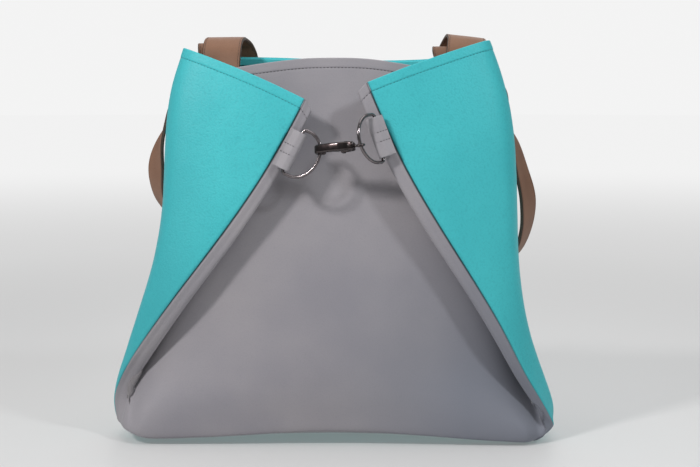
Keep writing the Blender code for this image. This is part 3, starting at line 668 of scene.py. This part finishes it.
def panelPiece(name, node, points, fromSeam, fromBottom, fromTop, inward, look):
    detail = panelDetail
    fromHem = fromTop - detail["hem"]
    inHem = 1 - smoothStep((fromHem + 0.5) / 1.0)
    rounded = roundedEdge(fromTop, detail["edgeRound"])
    seamRoll = look["seamRoll"] * np.clip(1 - fromSeam / detail["rollReach"], 0, 1) ** 2 * (1 - 0.6 * inHem)
    bottomRoll = look["seamRoll"] * np.clip(1 - fromBottom / detail["rollReach"], 0, 1) ** 2
    stitchDip = detail["dip"] * np.exp(-(fromHem / 0.75) ** 2)
    pucker = detail["pucker"] * noiseField(points, 8, 6.3) * np.exp(-((fromHem - 1.2) / 3.4) ** 2)
    roll = np.maximum(seamRoll, bottomRoll)
    depth = rounded + roll + stitchDip - detail["hemRaise"] * inHem + look["relief"] + pucker
    outer = points + inward * depth[:, :, None]
    wall = detail["wall"] + look["hemThick"] * inHem - 1.6 * rounded - 0.55 * roll - 1.5 * stitchDip
    # the leather is bunched at the bottom corners
    atEnd = smoothStep((np.abs(points[:, :, 0]) - detail["cornerFrom"]) / detail["cornerReach"])
    low = 1 - smoothStep((points[:, :, 2] - detail["cornerTop"]) / detail["cornerFade"])
    wall = wall * (1 - detail["cornerThin"] * atEnd * low)
    fields = {
        "seamEdge": np.maximum(np.exp(-(fromSeam / 0.9) ** 2), np.exp(-(fromBottom / 0.9) ** 2)),
        "stitchLine": np.exp(-(fromHem / 1.0) ** 2),
        "turnedHem": 1 - smoothStep((fromTop - detail["hemBand"]) / 0.8),
    }
    piece, order = gridMesh(name, outer, fields, look["surfaces"])
    giveWall(piece, order, wall, 1, 1, 1)
    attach(piece, "bag")
    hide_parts(node)
    return outer, wall


tealPoints = panelSurface(tealRows(), 150, 118, False)
tealInward = inwardOf(tealPoints[0])
relief = 0.55 * noiseField(tealPoints[0], 70, 3.1) + 0.16 * noiseField(tealPoints[0], 21, 7.7)
tealOuter, tealWall = panelPiece("teal_panel", "back_panel", *tealPoints, tealInward, {
    "seamRoll": 1.3, "hemThick": 1.0, "relief": relief,
    "surfaces": (tealInside, tealLeather), "slot": "teal_leather",
})
print("teal panel")

greyCage = [row[::-1] for row in greyRows()]
greyPoints = panelSurface(greyCage, 208, 112, True)
greyInward = inwardOf(greyPoints[0])
relief = 0.5 * noiseField(greyPoints[0], 60, 11.3) + 0.14 * noiseField(greyPoints[0], 19, 5.2)
greyOuter, greyWall = panelPiece("grey_panel", "front_panel", *greyPoints, greyInward, {
    "seamRoll": 1.3, "hemThick": 0.8, "relief": relief,
    "surfaces": (greyInside, greyLeather), "slot": "grey_leather",
})
print("grey panel")

# ---- the two handles
strap = {
    "width": 38.0, "thick": 3.6, "steps": 430, "stitchIn": 2.2, "edgeRound": 0.9,
    # the arch that slopes: everything over a height, right of a place across, about its middle
    "archFrom": 372, "archReach": 16, "archRight": 60, "archMiddle": 124,
    "across": (0, 0.25, 0.7, 1.2, 1.7, 2.0, 2.2, 2.4, 2.8, 3.6, 6, 9, 12.5, 16),
    # centre line of each handle, with the turn of its width about the upright in degrees: 0 points along +X
    "front": (
        (-111, -12.6, 335, -14), (-111, -9.2, 355, -14), (-111, -5.2, 373, -9), (-110.5, -1, 385, -4),
        (-110, 8, 392, 0), (-109, 19.5, 395, 0), (-107.5, 33, 395, 0), (-101.5, 45.5, 389, 0),
        (-97.5, 52, 377, 0), (-98.5, 55.5, 364, 0), (-102, 59, 350, 0), (-108, 62, 320, 20),
        (-122, 66, 290, 55), (-135, 70, 262, 80), (-139, 73, 235, 90), (-130, 75, 205, 90), (-105, 76, 178, 90),
        (-82, 76.5, 168.3, 90), (-55, 77, 162, 90), (-22, 77, 159, 90), (10, 77, 158, 90), (40, 77, 159, 90),
        (70, 77, 162, 90), (98, 76.5, 168.2, 90), (122, 76, 178, 90), (149, 75, 205, 90), (157, 73, 235, 90),
        (152, 70, 262, 100), (138, 66, 290, 125), (123, 62, 320, 160), (117, 59, 350, 180),
        (118, 55.5, 364, 180), (121, 52, 377, 180), (126, 46, 389.5, 180), (129.5, 34, 396.6, 180),
        (130.5, 20, 396.6, 180), (130.5, 9, 393.5, 180), (129, 0, 386, 184), (127, -4.2, 373, 189),
        (125.5, -8, 355, 194), (125, -11, 335, 194),
    ),
    "back": (
        (-117, 25.2, 335, 10), (-117, 21.5, 360, 12), (-117, 18.2, 381, 14), (-117.5, 21, 387.4, 12),
        (-118, 31, 389.5, 6), (-118.5, 38, 386.5, 2), (-119.5, 42.6, 378.5, 0), (-124, 44, 368, 3),
        (-135, 46, 352, 15), (-148, 50, 338, 40), (-167.5, 56, 316, 82), (-180.5, 61, 290, 105),
        (-185, 65, 265, 118), (-182.5, 66, 237, 112), (-165.5, 68, 206, 100), (-148, 70, 165, 92),
        (-115, 72, 134, 90), (-88, 72.6, 123.4, 90), (-60, 73, 118, 90), (-25, 73, 115.3, 90),
        (10, 73, 114, 90), (45, 73, 115.5, 90), (80, 73, 119, 90), (109, 72.5, 126.5, 90), (136, 72, 140, 90),
        (171, 70.5, 158, 82), (190, 69, 179, 74), (198, 68, 202, 68), (199.5, 67, 228, 62), (192, 64, 262, 66),
        (181, 59, 298, 80), (165, 53, 329, 120), (151, 46, 351, 165), (130, 44, 368, 177),
        (119, 42.6, 377, 180), (117, 38, 383.2, 178), (116.5, 31, 386.4, 174), (116.5, 22.3, 384, 170),
        (117, 19.2, 378.5, 167), (118, 21.5, 360, 168), (118, 25.2, 335, 170),
    ),
}


def pathThrough(rows, steps):
    # evenly numbered places on a smooth line through the rows
    rows = np.array(rows, float)
    at = lengthsAlong(rows[:, :3])
    slope = np.gradient(rows, at, axis=0)
    along = np.linspace(0, at[-1], steps)
    cell = np.clip(np.searchsorted(at, along, side="right") - 1, 0, len(at) - 2)
    gap = (at[cell + 1] - at[cell])[:, None]
    u = (along - at[cell])[:, None] / gap
    return (
        (2 * u**3 - 3 * u**2 + 1) * rows[cell] + (u**3 - 2 * u**2 + u) * gap * slope[cell]
        + (3 * u**2 - 2 * u**3) * rows[cell + 1] + (u**3 - u**2) * gap * slope[cell + 1]
    )


def handlePiece(name, node, rows, lean):
    path = pathThrough(rows, strap["steps"])
    turn = np.radians(path[:, 3])
    wide = np.stack([np.cos(turn), np.sin(turn), np.zeros(len(turn))], axis=1)
    half = strap["width"] / 2
    fromEdge = np.array(strap["across"])
    places = np.concatenate([fromEdge - half, [0], (half - fromEdge)[::-1]])
    edge = np.concatenate([fromEdge, [half], fromEdge[::-1]])
    points = path[:, None, :3] + wide[:, None, :] * places[None, :, None]
    ahead = np.gradient(path[:, :3], axis=0)
    ahead /= np.linalg.norm(ahead, axis=1, keepdims=True)
    normal = np.cross(wide, ahead)
    normal /= np.linalg.norm(normal, axis=1, keepdims=True)
    wave = noiseField(points, 34, 2.4) * 0.35
    points = points + normal[:, None, :] * wave[:, :, None]
    # the right arch slopes down to the right
    high = smoothStep((points[:, :, 2] - strap["archFrom"]) / strap["archReach"])
    arch = high * (points[:, :, 0] > strap["archRight"])
    points[:, :, 2] -= lean * arch * (points[:, :, 0] - strap["archMiddle"])
    dip = 0.5 * np.exp(-((edge - strap["stitchIn"]) / 0.35) ** 2)
    paint = 1 - smoothStep((edge - 0.55) / 0.35)
    seam = np.exp(-((edge - strap["stitchIn"]) / 0.5) ** 2)
    across = strap["thick"] - dip - 2 * roundedEdge(edge, strap["edgeRound"])
    wall, paint, seam = (np.repeat(line[None, :], len(path), axis=0) for line in (across, paint, seam))
    fields = {"paintedEdge": paint, "stitchLine": seam}
    piece, order = gridMesh(name, points, fields, (strapLeather, edgePaint))
    giveWall(piece, order, wall, 0, 0, 1)
    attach(piece, "bag")
    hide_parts(node)
    column = int(np.argmin(np.abs(fromEdge - strap["stitchIn"])))
    reach = strap["thick"] / 2 - 0.2
    rowsOut = []
    for k in (column, len(places) - 1 - column):
        for side in (1, -1):
            rowsOut.append((points[:, k] + normal * side * reach, normal * side))
    return rowsOut


handleStitches = handlePiece("front_strap", "front_handle", strap["front"], 0.12)
handleStitches += handlePiece("back_strap", "back_handle", strap["back"], 0.0)
print("handles")


# ---- tabs, rings and the clip
clip = {
    "wire": 1.6, "ringHalf": 23.0, "ringLeg": 7.0, "ringDepth": 27.0, "ringCorner": 3.2,
    "leftTab": ((-38, -56.9, 286.4), (0.457, 0.11, 0.889), (0.889, 0, -0.457), 5.5),
    "rightTab": ((39.6, -57.6, 299.2), (-0.354, 0.14, 0.935), (-0.935, 0, -0.354), 8.0),
    "leftRing": ((-39.2, -60.8, 288.4), (0.48, 0.11, 0.87), (0.84, -0.33, -0.43)),
    "rightRing": ((42.5, -61.4, 300.3), (-0.2, 0.136, 0.963), (-0.70, -0.714, -0.012)),
    "leftCatch": 56, "rightCatch": 102,
    "tabLength": 39.0, "tabLeather": 1.5, "tabReach": 13.5, "tabStitch": 4.5, "tabRound": 0.5,
    # share of the tab's section, from its end round the wire, that is its outer face
    "tabOuter": 0.42,
    "eyeRadius": 3.6, "eyeWire": 1.25, "post": 1.3,
    "hookThick": 8.5, "hookEdge": 1.9, "gateThick": 4.4, "gateEdge": 0.9, "gateSlot": 5.0,
    "hinge": (22.3, -4.9), "pin": 1.1, "pinClear": 0.08,
    # side views, in millimetres: along from the left ring's wire, and up to the spine
    "hook": (
        (4.0, -5.9), (0.5, -5.8), (-2.6, -4.9), (-4.8, -3.0), (-5.7, 0), (-4.8, 3.0), (-2.6, 4.9), (0.5, 5.9),
        (5, 6.5), (12, 7.1), (20, 7.0), (26, 6.0), (29, 4.8), (33.6, 4.5), (34.6, 3.6), (34.6, -3.6),
        (33.6, -4.5), (29, -4.8), (26.5, -6.0), (24, -7.0), (21, -7.0), (19.2, -6.0), (18.8, -3.1), (21, -2.9),
        (25.5, -2.9), (28.4, -2.4), (28.9, -1.4), (28.9, 1.4), (28.4, 2.6), (26, 3.0), (18, 3.2), (8, 3.1),
        (1.5, 2.9), (-1.2, 2.3), (-2.3, 1.2), (-2.6, 0), (-2.3, -1.2), (-1.2, -2.3), (1.0, -2.9), (4.0, -3.0),
    ),
    "gate": (
        (4.5, -5.9), (4.4, -3.0), (12, -2.9), (19.5, -2.9), (22.3, -3.1), (23.7, -3.7), (24.1, -4.9),
        (23.7, -6.1), (22.3, -6.7), (19, -6.6), (17.2, -7.4), (16.2, -8.9), (14.6, -9.1), (12.6, -7.2),
        (10, -6.3),
    ),
}


def frameFrom(axes, origin):
    made = Matrix(axes).transposed().to_4x4()
    made.translation = origin
    return made


def squareTo(way, along):
    # the part of a direction that stands square to another
    return (way - along * way.dot(along)).normalized()


def frameOf(origin, along, out):
    along = Vector(along).normalized()
    out = squareTo(Vector(out), along)
    return frameFrom((along, out, along.cross(out)), Vector(origin) * mm)


def tabPiece(name, node, origin, along, out, cavity):
    place = frameOf(origin, along, out)
    if place.to_3x3().col[2].y > 0:
        place = place @ Matrix.Rotation(math.pi, 4, "Y")
    leatherWall = clip["tabLeather"]
    low = leatherWall / 2 + 0.3
    bend = clip["wire"] + 0.45 + leatherWall / 2
    high = low + 2 * bend
    flat = low + leatherWall + 0.3
    reach = clip["tabReach"]
    corners = [(-reach, flat), (-cavity - 4.5, flat), (-cavity - 1.2, (flat + high) / 2), (-cavity + 2, high)]
    turns = [math.pi * k / 16 for k in range(17)]
    corners += [(bend * math.sin(turn), low + bend * (1 + math.cos(turn))) for turn in turns]
    corners += [(-cavity, low), (-reach, low)]
    section = np.array(corners)
    at = lengthsAlong(section)
    every = np.unique(np.concatenate([at, np.linspace(0, at[-1], 90)]).round(4))
    section = np.stack([np.interp(every, at, section[:, k]) for k in range(2)], axis=1)
    for _ in range(14):
        section[1:-1] = (section[:-2] + 2 * section[1:-1] + section[2:]) / 4
    half = clip["tabLength"] / 2
    edge = np.array((0, 0.15, 0.4, 0.8, 1.5, 3, 6, 9, 11, 12.5, 13.8, 14.6, 15.0, 15.4, 16.2, 17.6))
    places = np.concatenate([edge - half, [0], (half - edge)[::-1]])
    fromEdge = half - np.abs(places)
    local = np.zeros((len(section), len(places), 3))
    local[:, :, 0] = places[None, :]
    local[:, :, 1:] = section[:, None, :]
    row = np.abs(np.abs(places) - clip["tabStitch"])
    outerSide = (np.arange(len(section)) < len(section) * clip["tabOuter"])[:, None]
    dip = 0.3 * np.exp(-(row / 0.45) ** 2)[None, :] * outerSide
    rounded = roundedEdge(fromEdge, clip["tabRound"])
    wall = leatherWall - dip - 2 * rounded[None, :] + np.zeros((len(section), 1))
    crown = 0.25 * noiseField(local, 9, 4.0)
    local[:, :, 2] += crown * outerSide
    matrix = np.array(place)
    points = local @ matrix[:3, :3].T + matrix[:3, 3] / mm
    fields = {"stitchLine": np.exp(-(row / 0.7) ** 2)[None, :] * outerSide}
    piece, order = gridMesh(name, points, fields, (tabLeather, tabLeather))
    giveWall(piece, order, wall, 0, 0, 0)
    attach(piece, "bag")
    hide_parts(node)
    outward = np.array(Vector(matrix[:3, 2]))
    lines = []
    top = np.nonzero(outerSide[:, 0] & (section[:, 0] < -0.5))[0]
    for side in (-clip["tabStitch"], clip["tabStitch"]):
        k = int(np.argmin(np.abs(places - side)))
        line = points[top, k] + outward * (leatherWall / 2 - 0.05)
        lines.append((line, np.repeat(outward[None, :], len(line), axis=0)))
    return lines


tabStitches = tabPiece("left_tab", "ring_tab_left", *clip["leftTab"])
tabStitches += tabPiece("right_tab", "ring_tab_right", *clip["rightTab"])
print("tabs")


def evaluated(helper):
    # the mesh of an object with its curve or modifiers worked out
    bpy.context.view_layer.update()
    return bpy.data.meshes.new_from_object(helper.evaluated_get(bpy.context.evaluated_depsgraph_get()))


def settledMesh(curve, place):
    # a curve as a mesh in its place
    helper = placed(curve.name, curve)
    mesh = evaluated(helper)
    bpy.data.objects.remove(helper, do_unlink=True)
    body = bmesh.new()
    body.from_mesh(mesh)
    bmesh.ops.remove_doubles(body, verts=body.verts, dist=0.00001)
    bmesh.ops.recalc_face_normals(body, faces=body.faces)
    body.transform(place)
    return meshFrom(body, curve.name)


def closedCurve(name, line, dimensions, bevel, rounds):
    # a curve through a closed line in millimetres, its section rounded
    curve = bpy.data.curves.new(name, "CURVE")
    curve.dimensions = dimensions
    curve.bevel_depth = bevel * mm
    curve.bevel_resolution = rounds
    spline = curve.splines.new("POLY")
    spline.points.add(len(line) - 1)
    for point, spot in zip(spline.points, line):
        point.co = (spot[0] * mm, spot[1] * mm, 0, 1)
    spline.use_cyclic_u = True
    return curve


def wireMesh(name, line, radius, place):
    # a round wire along a closed line in the frame's first two axes
    return settledMesh(closedCurve(name, line, "3D", radius, 6), place)


def showPiece(name, mesh, surface, body, node, sharp=40):
    smoothed(mesh)
    mesh.set_sharp_from_angle(angle=math.radians(sharp))
    mesh.materials.clear()
    mesh.materials.append(surface)
    piece = placed(name, mesh)
    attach(piece, body)
    if node:
        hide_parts(node)
    return piece


def ringLine():
    # a straight bar, two tight corners and the bow
    half, corner, leg = clip["ringHalf"], clip["ringCorner"], clip["ringLeg"]
    line = [(x, 0) for x in np.linspace(-half + corner, half - corner, 12)]
    bend = [math.pi / 2 * k / 8 for k in range(1, 9)]
    bow = [math.pi * k / 72 for k in range(73)]
    line += [(half - corner + corner * math.sin(turn), corner * (1 - math.cos(turn))) for turn in bend]
    line += [(half * math.cos(turn), leg + (clip["ringDepth"] - leg) * math.sin(turn)) for turn in bow]
    line += [(-half + corner - corner * math.sin(turn), corner * (1 - math.cos(turn))) for turn in bend[::-1]]
    return line


def bowPoint(place, degrees):
    # a spot on a ring's bow and the way the wire runs there
    turn = math.radians(degrees)
    half, reach = clip["ringHalf"], clip["ringDepth"] - clip["ringLeg"]
    spot = place @ Vector((half * math.cos(turn) * mm, (clip["ringLeg"] + reach * math.sin(turn)) * mm, 0))
    way = place.to_3x3() @ Vector((-half * math.sin(turn), reach * math.cos(turn), 0))
    return spot, way.normalized()


leftRing, rightRing = frameOf(*clip["leftRing"]), frameOf(*clip["rightRing"])
for name, node, place in (("left_ring", "d_ring_left", leftRing), ("right_ring", "d_ring_right", rightRing)):
    ring = wireMesh(name, ringLine(), clip["wire"], place)
    showPiece(name, ring, nickel, "bag", node, 80)

held, heldWay = bowPoint(leftRing, clip["leftCatch"])
pulled, pulledWay = bowPoint(rightRing, clip["rightCatch"])
along = (pulled - held).normalized()
third = squareTo(heldWay, along)
if third.cross(along).y > 0:
    third = -third
hookFrame = frameFrom((along, third.cross(along), third), held)


def plateMesh(name, outline, thick, edge, place):
    # a plate cut to an outline, its edges rounded
    closed = np.array(outline + outline[:1], float)
    at = lengthsAlong(closed)
    fine = np.arange(0, at[-1], 0.45)
    line = np.stack([np.interp(fine, at, closed[:, k]) for k in range(2)], axis=1)
    for _ in range(4):
        line = (np.roll(line, 1, axis=0) + 2 * line + np.roll(line, -1, axis=0)) / 4
    curve = closedCurve(name, line, "2D", edge, 5)
    curve.fill_mode = "BOTH"
    curve.extrude = (thick / 2 - edge) * mm
    curve.offset = -edge * mm
    return settledMesh(curve, place)


def carve(mesh, operation, shapes):
    # the mesh with round rods or blocks cut out of it or joined to it
    body = placed("carved", mesh)
    helpers = [placed("helper", made) for made in shapes]
    for helper in helpers:
        cut = body.modifiers.new("cut", "BOOLEAN")
        cut.operation = operation
        cut.solver = "EXACT"
        cut.object = helper
    result = evaluated(body)
    for helper in helpers + [body]:
        bpy.data.objects.remove(helper, do_unlink=True)
    return result


def rodMesh(radius, length, middle, axis, place, bevel=0.0):
    body = bmesh.new()
    turn = Matrix.Rotation(math.pi / 2, 4, "Y") if axis == "X" else Matrix.Identity(4)
    sizes = {"radius1": radius * mm, "radius2": radius * mm, "depth": length * mm}
    bmesh.ops.create_cone(body, cap_ends=True, segments=40, **sizes)
    if bevel:
        rims = [rim for rim in body.edges if abs(rim.verts[0].co.z - rim.verts[1].co.z) < 1e-7]
        bmesh.ops.bevel(body, geom=rims, offset=bevel * mm, affect="EDGES", segments=4, profile=0.5, material=-1)
    body.transform(place @ Matrix.Translation(Vector(middle) * mm) @ turn)
    return meshFrom(body, "rod")


def blockMesh(sizes, middle, place):
    body = bmesh.new()
    bmesh.ops.create_cube(body, size=1, matrix=Matrix.Diagonal((*(Vector(sizes) * mm), 1)))
    body.transform(place @ Matrix.Translation(Vector(middle) * mm))
    return meshFrom(body, "block")


hinge = (*clip["hinge"], 0)
hookMesh = plateMesh("hook", clip["hook"], clip["hookThick"], clip["hookEdge"], hookFrame)
hookMesh = carve(hookMesh, "DIFFERENCE", [
    blockMesh((10, 9, clip["gateSlot"]), (20.5, -7.3, 0), hookFrame),
    rodMesh(clip["post"] + 0.3, 14, (34, 0, 0), "X", hookFrame),
])
hookMesh = carve(hookMesh, "UNION", [rodMesh(clip["pin"], clip["hookThick"] - 1.2, hinge, "Z", hookFrame)])
showPiece("hook_body", hookMesh, gunmetal, "hook", "snap_hook", 38)
gateMesh = plateMesh("gate", clip["gate"], clip["gateThick"], clip["gateEdge"], hookFrame)
gateMesh = carve(gateMesh, "DIFFERENCE", [rodMesh(clip["pin"] + clip["pinClear"], 12, hinge, "Z", hookFrame)])
showPiece("gate_lever", gateMesh, gunmetal, "gate", "snap_gate", 38)
for number, side in enumerate((-1, 1)):
    spot = (hinge[0], hinge[1], side * (clip["hookThick"] / 2 + 0.1))
    rivet = rodMesh(1.75, 1.0, spot, "Z", hookFrame, 0.42)
    showPiece("hinge_rivet_%d" % number, rivet, gunmetal, "hook", None, 50)


def beadMesh(radius, wire, spot, place):
    # a round bead turned about the hook's length
    body = bmesh.new()
    lifted = Matrix.Translation((0, radius * mm, 0))
    bmesh.ops.create_circle(body, segments=16, radius=wire * mm, matrix=lifted)
    around = {"cent": (0, 0, 0), "axis": (1, 0, 0), "angle": math.tau}
    bmesh.ops.spin(body, geom=body.edges[:] + body.verts[:], steps=48, use_merge=True, **around)
    bmesh.ops.remove_doubles(body, verts=body.verts, dist=0.000005)
    bmesh.ops.recalc_face_normals(body, faces=body.faces)
    body.transform(place @ Matrix.Translation((spot * mm, 0, 0)))
    return meshFrom(body, "bead")


for number, (spot, radius) in enumerate(((29.8, 4.5), (32.4, 4.2))):
    bead = beadMesh(radius, 0.62, spot, hookFrame)
    showPiece("collar_bead_%d" % number, bead, gunmetal, "hook", None, 80)

span = (pulled - held).length / mm
middle = span + clip["wire"] + 0.3 + clip["eyeWire"] - clip["eyeRadius"]
eyeThird = squareTo(pulledWay, along)
eyeFrame = frameFrom((along, eyeThird.cross(along), eyeThird), held + along * middle * mm)
turns = [math.tau * k / 64 for k in range(64)]
circle = [(clip["eyeRadius"] * math.cos(turn), clip["eyeRadius"] * math.sin(turn)) for turn in turns]
eyeMesh = wireMesh("eye", circle, clip["eyeWire"], eyeFrame)
near, headAt = -clip["eyeRadius"], 27.2 - middle
eyeMesh = carve(eyeMesh, "UNION", [
    rodMesh(clip["post"], near - headAt, ((near + headAt) / 2, 0, 0), "X", eyeFrame),
    rodMesh(2.2, 1.4, (headAt, 0, 0), "X", eyeFrame, 0.3),
])
showPiece("eye_and_post", eyeMesh, gunmetal, "bag", "swivel_eye", 40)
print("rings and clip")


# ---- stitches
stitch = {"pitch": 3.5, "share": 0.66, "width": 0.9, "height": 0.5, "sink": 0.02}


def stitchRows(name, rows, surface, pitch=stitch["pitch"]):
    # one small bead of thread for each stitch along lines of points with their outward directions
    body = bmesh.new()
    lying = Matrix.Rotation(math.pi / 2, 4, "Y")
    bmesh.ops.create_uvsphere(body, u_segments=6, v_segments=4, radius=0.5 * mm, matrix=lying)
    seed = meshFrom(body, "stitch")
    every = bmesh.new()
    count = 0
    for line, normals in rows:
        at = lengthsAlong(line)
        for k in range(int(at[-1] // pitch)):
            start = (k + 0.5 - stitch["share"] / 2) * pitch
            end = (k + 0.5 + stitch["share"] / 2) * pitch
            a, b = (Vector([np.interp(spot, at, axis) for axis in line.T]) for spot in (start, end))
            up = Vector([np.interp((start + end) / 2, at, axis) for axis in normals.T])
            way = b - a
            up = (up - way * up.dot(way) / way.length_squared).normalized()
            side = up.cross(way.normalized())
            axes = (way, side * stitch["width"], up * stitch["height"])
            turn = frameFrom(axes, ((a + b) / 2 - up * stitch["sink"]) * mm)
            seed.transform(turn)
            every.from_mesh(seed)
            seed.transform(turn.inverted())
            count += 1
    mesh = meshFrom(every, name)
    smoothed(mesh)
    mesh.materials.append(surface)
    piece = placed(name, mesh)
    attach(piece, "bag")
    print(name, count, "stitches")


def hemRows(outer, wall, inward):
    # the row of points at the hem's stitch line on the outer and the inner face
    line = outer.shape[0] - 1 - panelDetail["topMarks"].index(panelDetail["hem"])
    inner = outer[line] + inward[line] * wall[line][:, None]
    return [(outer[line], -inward[line]), (inner, inward[line])]


stitchRows("strap_stitches", handleStitches, brownThread)
stitchRows("tab_stitches", tabStitches, greyThread, 3.0)
stitchRows("teal_hem_stitches", hemRows(tealOuter, tealWall, tealInward), tealThread)
stitchRows("grey_hem_stitches", hemRows(greyOuter, greyWall, greyInward), greyThread)
